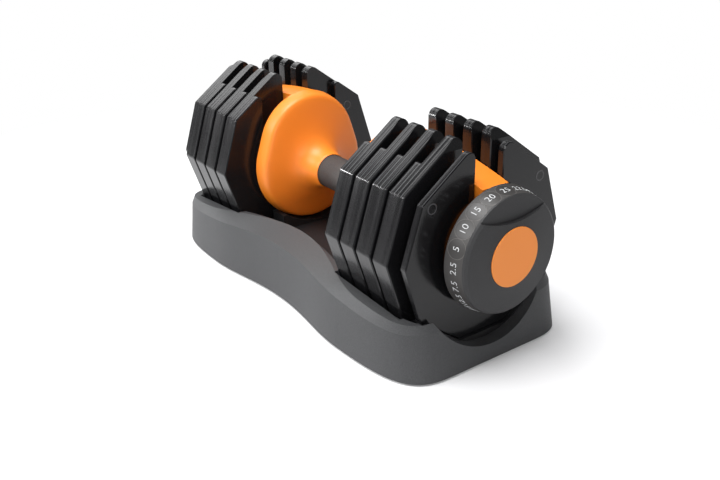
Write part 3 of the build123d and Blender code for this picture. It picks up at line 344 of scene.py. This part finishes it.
def floor_finish():
    """Paper to everything that is lit by it. Seen directly, it is lifted near the stand and white far away."""
    finish = Finish("white_sweep")
    colour = finish.blend(finish.noise(60.0, detail=3.0) * 0.04, PAPER_DARK, PAPER_LIGHT)
    paper = finish.node("ShaderNodeBsdfDiffuse", inputs={"Color": colour})
    seen = finish.node("ShaderNodeLightPath", output="Is Camera Ray")
    glow = finish.node("ShaderNodeEmission", inputs={"Color": WHITE, "Strength": seen * FLOOR_LIFT})
    lifted = finish.node("ShaderNodeAddShader", inputs={0: paper, 1: glow})
    white = finish.node("ShaderNodeEmission", inputs={"Color": WHITE})
    from_middle = (finish.axis("X") ** 2.0 + finish.axis("Y") ** 2.0) ** 0.5
    far = finish.ramp(from_middle, (FADE_START, 0), (FADE_END, 1))
    return finish.done(finish.node("ShaderNodeMixShader", inputs={0: far * seen, 1: lifted, 2: white}))


bpy.ops.object.select_all(action="DESELECT")
bpy.ops.mesh.primitive_plane_add(size=FLOOR_SIZE, location=(0, 0, -FLOOR_DROP))
floor = bpy.context.object
floor.name = "floor"
bpy.ops.object.transform_apply(location=True)
floor.data.materials.append(floor_finish())
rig.stage(floor)
print("floor", FLOOR_SIZE, "wide, white from", FADE_END)

# %% [markdown]
# The room behind the lamps decides how deep the shadows are. It is dim, so that the lamps draw the shapes,
# but looked at directly it is as white as the floor's far end, so that no edge shows where they meet.
# The view transform is Standard, which leaves white white and the orange as strong as it was mixed.

# %% Room
ROOM_LEVEL = 0.225

room = bpy.data.worlds.new("studio")
bpy.context.scene.world = room
studio = Finish("studio", room)
seen_directly = studio.node("ShaderNodeLightPath", output="Is Camera Ray")
dim = studio.node("ShaderNodeBackground", inputs={"Color": WHITE, "Strength": ROOM_LEVEL})
white = studio.node("ShaderNodeBackground", inputs={"Color": WHITE})
mixed = studio.node("ShaderNodeMixShader", inputs={0: seen_directly, 1: dim, 2: white})
studio.done(mixed, "ShaderNodeOutputWorld")
bpy.context.scene.view_settings.view_transform = "Standard"
print("room lit at", ROOM_LEVEL)

# %% [markdown]
# ## Lamps
# Gloss shows the shape of a lamp, so each lamp is a softbox: a bright rectangle, larger than the object.
# The top lamp gives most of the light and the soft shadow, the key and fill lamps open the two sides that
# are seen, and the left and edge lamps lie where the slanting rims mirror them. One small lamp stands low on
# the left, where the rounded corners of the rims mirror it as a row of glints.

# %% Softboxes
LAMP_TARGET = Vector((0, 0, 0.08))
# name, place, width and height, power in watts
LAMPS = [
    ("key_lamp", (-0.6, -1.8, 1.3), (1.3, 0.9), 28.0),
    ("top_lamp", (-0.1, -0.4, 2.1), (1.5, 1.1), 58.0),
    ("left_lamp", (-1.7, 0.3, 1.3), (1.3, 1.1), 11.0),
    ("edge_lamp", (-1.6, -0.9, 1.2), (0.8, 0.6), 2.5),
    ("glint_lamp", (-1.5, -1.25, 0.5), (0.22, 0.22), 15.0),
    ("fill_lamp", (1.8, -1.0, 0.9), (0.9, 0.9), 10.5),
]


def add_softbox(name, place, size, power):
    lamp = bpy.data.lights.new(name, "AREA")
    lamp.shape = "RECTANGLE"
    lamp.size, lamp.size_y = size
    lamp.energy = power
    holder = bpy.data.objects.new(name, lamp)
    bpy.context.scene.collection.objects.link(holder)
    holder.matrix_world = aimed(Vector(place), LAMP_TARGET)
    print(name, "at", place, "power", power)


for facts in LAMPS:
    add_softbox(*facts)

# %% [markdown]
# ## Hands for the modelling
# Operators act on what is selected, as hands act on what they hold. By hand the right thing is clicked
# first. A script has to let go of everything and take up the one piece, each time, or an operator reaches
# pieces that it was never meant for. These helpers do that, so that each model below reads as its steps.

# %% Let go, hold, open, pick and settle
# Two places that are closer than this are the same place.
HAIR = 1e-5


def let_go():
    """Leaves edit mode and selects nothing, as before a new primitive is added."""
    if bpy.context.mode != "OBJECT":
        bpy.ops.object.mode_set(mode="OBJECT")
    bpy.ops.object.select_all(action="DESELECT")


def hold(piece):
    """Selects this object alone and makes it the active one."""
    let_go()
    piece.select_set(True)
    bpy.context.view_layer.objects.active = piece


def open_mesh(piece):
    """Starts edit mode on this object, with its whole mesh selected."""
    hold(piece)
    bpy.ops.object.mode_set(mode="EDIT")
    bpy.ops.mesh.select_all(action="SELECT")


def pick(test):
    """In edit mode, selects only the points whose place passes the test."""
    mesh = bmesh.from_edit_mesh(bpy.context.object.data)
    bpy.ops.mesh.select_mode(type="VERT")
    bpy.ops.mesh.select_all(action="DESELECT")
    for point in mesh.verts:
        point.select = bool(test(point.co))
    mesh.select_flush(True)
    bmesh.update_edit_mesh(bpy.context.object.data)


def settle(piece, name):
    """Puts the object's place into its mesh and names both."""
    hold(piece)
    bpy.ops.object.transform_apply(location=True, rotation=True, scale=True)
    piece.name = name
    piece.data.name = name
    return piece


def apply_modifier(piece, kind, name, **settings):
    hold(piece)
    modifier = piece.modifiers.new(name, kind)
    for key, value in settings.items():
        setattr(modifier, key, value)
    bpy.ops.object.modifier_apply(modifier=modifier.name)


shaft_low, shaft_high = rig.box("drive_shaft")
AXIS_Z = (shaft_low[2] + shaft_high[2]) / 2
NECK_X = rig.box("guard_disc_right")[0][0]
print("axis at height", round(AXIS_Z, 4), "right neck at", round(NECK_X, 4))

# %% [markdown]
# ## The guard discs
# Between the grip and the plates stands a bright guard: a trumpet that leaves the grip, opens into a wide
# face and rolls over into a deep rim, with a crown that runs on into the spine. Spinning a profile about
# the axis would give a plain round disc, but this one's rim is an egg and not a circle, and its section
# changes all the way. So it is described by rings, as a potter thinks of a vase: how far along each one is,
# how wide, and how much of the crown it has already taken on. The outer rings run from the neck to the rim,
# and the inner ones back again through the hollow, so that the wall has a thickness.

# %% Rings of the guard disc
RIM_RISE = 0.0125
CROWN_ANGLE = math.radians(19.0)
DISC_POINTS = 72
# Each ring: its distance from the neck along the axis, its radius, and how much of the crown it has.
OUTER_RINGS = [
    (-0.0045, 0.0172, 0.0), (0.0035, 0.0179, 0.0), (0.0105, 0.0197, 0.05), (0.0152, 0.0228, 0.12),
    (0.0188, 0.0272, 0.24), (0.0215, 0.0332, 0.42), (0.0235, 0.0402, 0.64), (0.0251, 0.0468, 0.84),
    (0.0264, 0.0516, 0.95), (0.0274, 0.0539, 1.0), (0.0287, 0.0553, 1.0), (0.0305, 0.0562, 1.0),
    (0.0350, 0.0573, 1.0), (0.0400, 0.0581, 1.0), (0.0418, 0.0581, 1.0),
]
INNER_RINGS = [
    (0.0418, 0.0541, 1.0), (0.0391, 0.0541, 1.0), (0.0385, 0.0525, 1.0), (0.0300, 0.0462, 0.8),
    (0.0235, 0.0300, 0.4), (0.0195, 0.0163, 0.0), (-0.0045, 0.0163, 0.0),
]
RINGS = OUTER_RINGS + INNER_RINGS
print("rings", len(RINGS), "widest", max(radius for along, radius, share in RINGS))

# %% [markdown]
# The rings could each be added as a circle and bridged to the next. Extruding one circle from ring to ring,
# and resizing it at each step, keeps the points in line and joins the wall as it goes. Then the upper part
# of every ring with a share of the crown is made smaller and lifted, which draws the egg. The last ring is
# bridged back to the first, and a level of subdivision rounds what the steps left.

# %% Model the right guard disc
def crown_ring(x, radius, share):
    """Makes the ring's upper part smaller about the axis and lifts it, so that the ring turns into an egg."""
    lift = RIM_RISE * share / (1 - math.sin(CROWN_ANGLE))
    smaller = 1 - lift * math.sin(CROWN_ANGLE) / radius

    def on_upper_part(place):
        height = place.z - AXIS_Z
        on_ring = abs(place.x - x) < HAIR and abs(math.hypot(place.y, height) - radius) < HAIR
        return on_ring and height > radius * math.sin(CROWN_ANGLE + 0.01)

    pick(on_upper_part)
    bpy.ops.transform.resize(value=(1, smaller, smaller), center_override=(x, 0, AXIS_Z))
    bpy.ops.transform.translate(value=(0, 0, lift))


def model_guard_disc():
    start_x = NECK_X + RINGS[0][0]
    let_go()
    bpy.ops.mesh.primitive_circle_add(
        vertices=DISC_POINTS, radius=RINGS[0][1], fill_type="NOTHING",
        location=(start_x, 0, AXIS_Z), rotation=(0, math.pi / 2, 0))
    disc = settle(bpy.context.object, "guard_disc_smooth_right")
    open_mesh(disc)
    for before, ring in zip(RINGS, RINGS[1:]):
        bpy.ops.mesh.extrude_region_move(TRANSFORM_OT_translate={"value": (ring[0] - before[0], 0, 0)})
        bigger = ring[1] / before[1]
        bpy.ops.transform.resize(value=(1, bigger, bigger), center_override=(NECK_X + ring[0], 0, AXIS_Z))
    for along, radius, share in RINGS:
        if share > 0:
            crown_ring(NECK_X + along, radius, share)
    pick(lambda place: abs(place.x - start_x) < HAIR)
    bpy.ops.mesh.bridge_edge_loops()
    bpy.ops.mesh.select_all(action="SELECT")
    bpy.ops.mesh.normals_make_consistent(inside=False)
    apply_modifier(disc, "SUBSURF", "rounding", levels=1, render_levels=1)
    return disc


disc_right = model_guard_disc()
print("guard disc", len(disc_right.data.vertices), "points")

# %% [markdown]
# The second disc is the first one turned over. It could be modelled again from rings with their signs
# changed, but then a change to one would have to be made to both, so a copy is resized by -1 along the
# dumbbell. That turns its faces inside out, and they are turned outward again. The lock's stem leaves the
# right disc through a slot in its underside. A boolean cuts it with a bevelled block, because the slot's
# edge crosses the rings at an angle and no ring could be bent round it.

# %% Mirror the disc, and cut the slot for the lock
SLOT_SIZE = (0.009, 0.012, 0.034)
SLOT_DROP = 0.046
SLOT_ROUND = 0.0008


def copy_of(piece, name):
    twin = piece.copy()
    twin.data = piece.data.copy()
    twin.name = name
    bpy.context.scene.collection.objects.link(twin)
    return twin


def mirror_disc(disc):
    twin = copy_of(disc, "guard_disc_smooth_left")
    open_mesh(twin)
    bpy.ops.transform.resize(value=(-1, 1, 1), center_override=(0, 0, 0))
    bpy.ops.mesh.normals_make_consistent(inside=False)
    bpy.ops.object.mode_set(mode="OBJECT")
    return twin


def cut_lock_slot(disc):
    yoke_low, yoke_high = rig.box("lock_yoke")
    yoke_middle = (yoke_low[0] + yoke_high[0]) / 2
    let_go()
    place = (yoke_middle, 0, AXIS_Z - SLOT_DROP)
    bpy.ops.mesh.primitive_cube_add(size=1.0, location=place, scale=SLOT_SIZE)
    block = settle(bpy.context.object, "slot_block")
    open_mesh(block)
    bpy.ops.mesh.bevel(offset=SLOT_ROUND, segments=2, affect="EDGES")
    apply_modifier(disc, "BOOLEAN", "slot", operation="DIFFERENCE", object=block, solver="EXACT")
    bpy.data.objects.remove(block)
    print("slot over the lock yoke, at", round(yoke_middle, 5))


disc_left = mirror_disc(disc_right)
cut_lock_slot(disc_right)

# %% [markdown]
# Each smooth disc now takes the place of its plain solid, which the physics keeps. Shading every face
# smooth would smear the sharp lip of the rim and the slot, and flat shading would show the rings, so the
# shading is smooth only where two faces meet at a shallow angle.

# %% Hand the discs to the dumbbell
SMOOTH_UP_TO = math.radians(35.0)

for disc, node in ((disc_right, "guard_disc_right"), (disc_left, "guard_disc_left")):
    hold(disc)
    bpy.ops.object.shade_smooth_by_angle(angle=SMOOTH_UP_TO)
    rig.ride(disc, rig.body_of(nodes[node])[0])
    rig.replaces(disc, node)
    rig.slot(disc, "orange")
    print(disc.name, "rides on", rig.body_of(disc))

# %% [markdown]
# ## The weights on the dial
# The dial has twenty clicks. Each weight stands on it twice, half a turn apart, printed in pale paint on the
# band behind the knob, so that the weight that is on top is the one in the hand. Letters drawn by hand as
# bars would look rough, and an image is not wanted, so each number starts as a text object. It is made a
# mesh, laid over the top of the dial, pressed down onto the curved band by a shrinkwrap, and given the
# thickness of paint. The finished number is then turned to its click.

# %% Print one number
NUMBER_SIZE = 0.0074
NUMBER_BOLD = -0.00005
NUMBER_SPACING = 1.08
NUMBER_STRETCH = (1.10, 1.06, 1)
NUMBER_START = 0.004
PAINT = 0.00022
PAINT_LIFT = 0.00010
band_low, band_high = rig.box("number_ring")
BAND_X = band_low[0] + 0.00975
BAND_TOP = band_high[2]


def print_number(weight):
    """One number on top of the band, read from the front of the dumbbell to its back."""
    let_go()
    bpy.ops.object.text_add(location=(0, 0, 0))
    text = bpy.context.object
    text.data.body = weight
    text.data.size = NUMBER_SIZE
    text.data.offset = NUMBER_BOLD
    text.data.space_character = NUMBER_SPACING
    text.data.align_x = "CENTER"
    text.data.align_y = "CENTER"
    bpy.ops.object.convert(target="MESH")
    number = bpy.context.object
    open_mesh(number)
    bpy.ops.mesh.remove_doubles(threshold=HAIR)
    bpy.ops.mesh.subdivide(number_cuts=1)
    bpy.ops.transform.resize(value=NUMBER_STRETCH)
    bpy.ops.object.mode_set(mode="OBJECT")
    number.location = (BAND_X, 0, BAND_TOP + NUMBER_START)
    number.rotation_euler = (0, 0, math.radians(90))
    settle(number, "number_" + weight.replace(".", "_"))
    apply_modifier(number, "SHRINKWRAP", "press", target=nodes["number_ring"], wrap_method="PROJECT",
                   use_project_z=True, use_negative_direction=True, use_positive_direction=False,
                   offset=PAINT_LIFT, wrap_mode="ON_SURFACE")
    apply_modifier(number, "SOLIDIFY", "paint", thickness=PAINT, offset=0.0)
    return number


print("numbers printed at", round(BAND_X, 5), "on a band of radius", round(BAND_TOP - AXIS_Z, 4))

# %% [markdown]
# The twenty printed numbers could stay twenty pieces, but they are one coat of paint on one dial, so they
# are joined. Each number is modelled once and copied for its second place.

# %% Number the dial
WEIGHTS = ["25", "20", "15", "10", "5", "2.5", "7.5", "12.5", "17.5", "22.5"]
DIAL_STEPS = 20
STEP_ARC = 2 * math.pi / DIAL_STEPS


def turned_about_axis(angle):
    middle = Matrix.Translation((0, 0, AXIS_Z))
    return middle @ Matrix.Rotation(angle, 4, "X") @ middle.inverted()


def number_the_dial():
    copies = []
    for place, weight in enumerate(WEIGHTS):
        number = print_number(weight)
        for click in (place, place + len(WEIGHTS)):
            printed = copy_of(number, "weight_at_click_%02d" % click)
            printed.data.transform(turned_about_axis(STEP_ARC * click))
            copies.append(printed)
        bpy.data.objects.remove(number)
    hold(copies[0])
    for printed in copies:
        printed.select_set(True)
    bpy.ops.object.join()
    return settle(bpy.context.object, "dial_numbers")


numbers = number_the_dial()
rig.ride(numbers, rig.body_of(nodes["number_ring"])[0])
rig.slot(numbers, "bush_white")
print("dial numbers", len(numbers.data.polygons), "faces, on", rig.body_of(numbers))

# %% [markdown]
# ## The plates' black coat
# The plates are iron under a glossy black coat. Fine lines run round each rim, as between the sheets
# of a stack, and a small ring stands on the faces, one each side of the slot. Both could be cut into the
# solids, but they are only as deep as the coat, so the material draws them, in its colour and in its relief.
# The rings are pale marks of their own. The lines are painted pale only on faces that turn upward, as a
# painted highlight where the lamps catch them.
# A rim also turns through a small radius at each corner of the outline. A Bevel node gives that to the
# shading. It would round the long edges of the rims too, and those are sharp, so its normal is kept only
# in the plane of the outline.

# %% Lines, rings and corners of the coat
PLATE_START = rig.box("plate_right_1")[0][0]
PLATE_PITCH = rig.box("plate_right_2")[0][0] - PLATE_START
LAST_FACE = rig.box("small_plate_right")[1][0]
FACE_SKIN = 0.0005
RIM_LINE_STEP = 0.0041
RIM_LINE_HALF = 0.0004
MARK_SIDE = 0.057
MARK_HEIGHT = AXIS_Z + 0.044
MARK_RADIUS = 0.004
MARK_HALF = 0.0006
CORNER_RADIUS = 0.0015


def rim_lines(finish):
    """1 on the lines that run round each plate, 0 between them."""
    along = (abs(finish.axis("X")) - PLATE_START) % PLATE_PITCH
    return abs(along % RIM_LINE_STEP - RIM_LINE_STEP / 2) < RIM_LINE_HALF


def face_rings(finish):
    """1 on the small rings of the outermost faces, and of the innermost ones on the far side of the grip."""
    side = abs(finish.axis("Y")) - MARK_SIDE
    up = finish.axis("Z") - MARK_HEIGHT
    from_mark = (side * side + up * up) ** 0.5
    outermost = abs(finish.axis("X")) > LAST_FACE - FACE_SKIN
    innermost = (abs(finish.axis("X")) < PLATE_START + FACE_SKIN) * (finish.axis("Y") > 0.0)
    return (abs(from_mark - MARK_RADIUS) < MARK_HALF) * (outermost + innermost)


def rim_corners(finish):
    """The normal of a rim that turns round the corners of the outline, while its long edges stay sharp."""
    rounded = finish.node("ShaderNodeBevel", {"samples": 6}, {"Radius": CORNER_RADIUS}, output="Normal")
    around = finish.node("ShaderNodeVectorMath", {"operation": "MULTIPLY"}, {0: rounded, 1: (0.0, 1.0, 1.0)})
    around = finish.node("ShaderNodeVectorMath", {"operation": "NORMALIZE"}, {0: around})
    off_rim = abs(finish.facing("X")) > 0.3
    sides = {0: off_rim, 4: around, 5: finish.normal()}
    return finish.node("ShaderNodeMix", {"data_type": "VECTOR"}, sides, output=1)


print("plates start at", round(PLATE_START, 4), "and stand", round(PLATE_PITCH, 4), "apart")

# %% [markdown]
# The coat itself is nearly black, and what shows it is what it mirrors. One even roughness would look like
# plastic, so slow clouds and faint streaks along the rims change the roughness a little, and a fine skin
# breaks up the mirrored lamps. The lines, and most of the streaks' relief, are kept to surfaces that face
# upward, where they catch the light. There the lines' pale colour is a painted highlight.

# %% Black coat of the plates
COAT_DARK = (0.0052, 0.0052, 0.0058, 1)
COAT_LIGHT = (0.0086, 0.0086, 0.0095, 1)
# Pale colour of the face rings, and of the rim lines, where it is a painted highlight on upward faces.
LINE_SHEEN_AND_RING_PALE = (0.0520, 0.0520, 0.0550, 1)


def plate_finish():
    finish = Finish("black_coat")
    end_on = abs(finish.facing("X")) > 0.9
    upward = (finish.facing("Z") > 0.55) * (1 - end_on)
    # Painted highlight: the lines are coloured pale only on upward faces, where the lamps would catch them.
    pale_line_sheen = rim_lines(finish) * upward
    ring = face_rings(finish) * end_on
    skin = finish.noise(850.0)
    clouds = finish.noise(22.0, detail=4.0, roughness=0.6)
    streaks = finish.noise(60.0, detail=1.0, roughness=0.4, stretch=(8.0, 0.08, 0.08))
    shine = finish.ramp(streaks, (0.42, 0), (0.58, 1))
    lined = finish.relief((1 - pale_line_sheen) + ring, 0.0004, rim_corners(finish))
    brushed = finish.relief(streaks * (upward + 0.05), 0.00018, lined)
    return finish.shade(
        # The pale line colour here is a painted highlight; the pale rings are marks.
        base_color=finish.blend(pale_line_sheen * 0.7 + ring, finish.blend(shine, COAT_DARK, COAT_LIGHT), LINE_SHEEN_AND_RING_PALE),
        roughness=0.10 + clouds * 0.09 + shine * 0.04,
        normal=finish.relief(skin, 0.00004, brushed),
        specular_ior_level=0.34, coat_weight=0.08, coat_roughness=0.08)


finishes = {"plate_black": plate_finish()}
print("black coat", len(finishes["plate_black"].node_tree.nodes), "nodes")

# %% [markdown]
# ## Plastics
# The guards and spines are a smooth orange plastic with a soft gloss. The stand, its cradles and feet, the
# dial, the bushes and the grip come from moulds whose walls were eaten by sparks, which leaves a fine grain
# on the piece. A picture of grain would have to be fitted to every piece, while noise in Object coordinates
# runs over all of them without a seam. So one function makes the grained finishes, and only the colours, the
# size of the grain, its depth and the roughness change.

# %% Orange and grained plastics
def orange_finish(name, dark, light, roughness):
    finish = Finish(name)
    skin = finish.noise(520.0)
    clouds = finish.noise(16.0, detail=3.0)
    return finish.shade(
        base_color=finish.blend(clouds, (*dark, 1), (*light, 1)),
        roughness=roughness + clouds * 0.12,
        normal=finish.relief(skin, 0.00005),
        coat_weight=0.1, coat_roughness=0.25)


def grain_colour(finish, grain, dark, light):
    """Dark in the pits of the grain and light on its hills."""
    return finish.blend(finish.ramp(grain, (0.35, 0), (0.68, 1)), (*dark, 1), (*light, 1))


def grained_finish(name, dark, light, grain_scale, depth, roughness):
    finish = Finish(name)
    grain = finish.noise(grain_scale, detail=3.0, roughness=0.6)
    clouds = finish.noise(14.0, detail=3.0)
    return finish.shade(
        base_color=grain_colour(finish, grain, dark, light),
        roughness=roughness + clouds * 0.12,
        normal=finish.relief(grain, depth))


# slot: name, colour of the pits, colour of the hills, scale of the grain, its depth, roughness
GRAINED = {
    "stand_grey": ("stand_grain", (0.035, 0.036, 0.038), (0.062, 0.063, 0.066), 1500.0, 0.00025, 0.5),
    "cradle_black": ("cradle_grain", (0.008, 0.008, 0.009), (0.015, 0.015, 0.016), 1400.0, 0.0002, 0.4),
    "dial_grey": ("dial_grain", (0.016, 0.016, 0.017), (0.025, 0.025, 0.0265), 1900.0, 0.00012, 0.48),
    "grip_dark": ("grip_grain", (0.030, 0.027, 0.026), (0.052, 0.048, 0.046), 1100.0, 0.0003, 0.6),
    "rubber_black": ("foot_grain", (0.012, 0.012, 0.012), (0.022, 0.022, 0.022), 900.0, 0.0003, 0.7),
    "bush_white": ("bush_grain", (0.72, 0.71, 0.67), (0.8, 0.79, 0.75), 900.0, 0.00005, 0.35),
}
for slot, facts in GRAINED.items():
    finishes[slot] = grained_finish(*facts)
finishes["orange"] = orange_finish("orange_gloss", (0.86, 0.222, 0.013), (0.91, 0.248, 0.017), 0.40)
badge_orange = orange_finish("badge_satin", (0.84, 0.246, 0.028), (0.88, 0.264, 0.033), 0.45)
number_paint = grained_finish("number_paint", (0.48, 0.49, 0.50), (0.62, 0.63, 0.64), 900.0, 0.00002, 0.5)
print("plastics", sorted(finishes))

# %% [markdown]
# ## The numbered band
# Each round weight has a polished disc around its number on the band of the dial, with a fine groove at its
# edge, and the band between them is grained. The discs could be cut into the solid, but they are only as
# deep as the paint, so they are drawn by the material: it works out the click nearest to the point that it
# shades, and the distance to that click's middle along the band.

# %% Grained band with polished discs
BAND_RADIUS = 0.0506
SPOT_RADIUS = 0.0079
GROOVE_HALF = 0.0003
ROUND_WEIGHTS = 5


def band_finish():
    finish = Finish("numbered_band")
    side = 0.0 - finish.axis("Y")
    up = finish.axis("Z") - AXIS_Z
    turn = side.maths("ARCTAN2", side, up) / STEP_ARC
    click = round(turn)
    across = (turn - click) * (STEP_ARC * BAND_RADIUS)
    along = finish.axis("X") - BAND_X
    far = (across * across + along * along) ** 0.5
    whole = (click % len(WEIGHTS)) < ROUND_WEIGHTS - 0.5
    spot = (far < SPOT_RADIUS) * whole
    groove = (abs(far - SPOT_RADIUS) < GROOVE_HALF) * whole
    grain = finish.noise(2400.0, detail=3.0, roughness=0.6)
    clouds = finish.noise(14.0, detail=3.0)
    plain = grain_colour(finish, grain, (0.034, 0.032, 0.031), (0.052, 0.049, 0.047))
    polished = finish.blend(spot, plain, (0.036, 0.034, 0.033, 1))
    return finish.shade(
        base_color=finish.blend(groove, polished, (0.085, 0.080, 0.076, 1)),
        roughness=0.47 + clouds * 0.1 - spot * 0.10,
        normal=finish.relief(grain * (1 - spot), 0.00008, finish.relief(1 - groove, 0.0002)))


finishes["ring_grey"] = band_finish()
print("discs of", SPOT_RADIUS, "round", WEIGHTS[:ROUND_WEIGHTS])

# %% [markdown]
# ## Steel
# Screws, shaft and springs are zinc plated, and the selector discs and the lock are stamped and left bare.
# Polished metal alone would be a mirror that shows only lamps. Real parts are drawn or brushed, so a noise
# that is stretched one way changes the tone, the roughness and a very shallow relief together.

# %% Zinc plate and stamped steel
def steel_finish(name, tone, stretch):
    finish = Finish(name)
    brushed = finish.noise(900.0, detail=3.0, stretch=stretch)
    return finish.shade(
        base_color=finish.blend(brushed, (tone * 0.8, tone * 0.8, tone * 0.82, 1), (tone, tone, tone, 1)),
        roughness=0.22 + brushed * 0.22,
        metallic=1.0,
        normal=finish.relief(brushed, 0.00004))


finishes["steel"] = steel_finish("zinc_plate", 0.62, (0.06, 1.0, 1.0))
finishes["selector_steel"] = steel_finish("stamped_steel", 0.5, (1.0, 0.06, 1.0))
print("finishes", sorted(finishes))

# %% [markdown]
# ## Dressing the dumbbell
# The record names a material slot for every solid, and each slot now has its finish. Dressing by that list,
# and not by hand, leaves no piece behind when one is added. What was added here isn't in the record, so the
# smooth guard discs and the painted numbers are dressed by name. The badge in the middle of the dial shares
# a slot with the guards but is more satin than they are, so it has an orange of its own.

# %% Dress every piece
def dress(piece, finish):
    piece.data.materials.clear()
    piece.data.materials.append(finish)


for part in frame["record"]["subparts"]:
    dress(nodes[part["node"]], finishes[part["material_slot"]])
for disc in (disc_right, disc_left):
    dress(disc, finishes["orange"])
dress(numbers, number_paint)
dress(nodes["dial_badge"], badge_orange)
print("dressed", len(frame["record"]["subparts"]), "nodes, two discs and the numbers")

# %% [markdown]
# ## Size, and the end
# The pieces that were added have to stay inside the box of the solids, or the model would be larger than the
# real thing. Looking at the render can't show a tenth of a millimetre, so both boxes are written down.

# %% Write the two boxes and finish
with open("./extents.json", "w") as handle:
    corners = [[list(corner) for corner in cad_box], [list(corner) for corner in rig.bounds()]]
    json.dump(corners, handle)
print("bounds", corners)
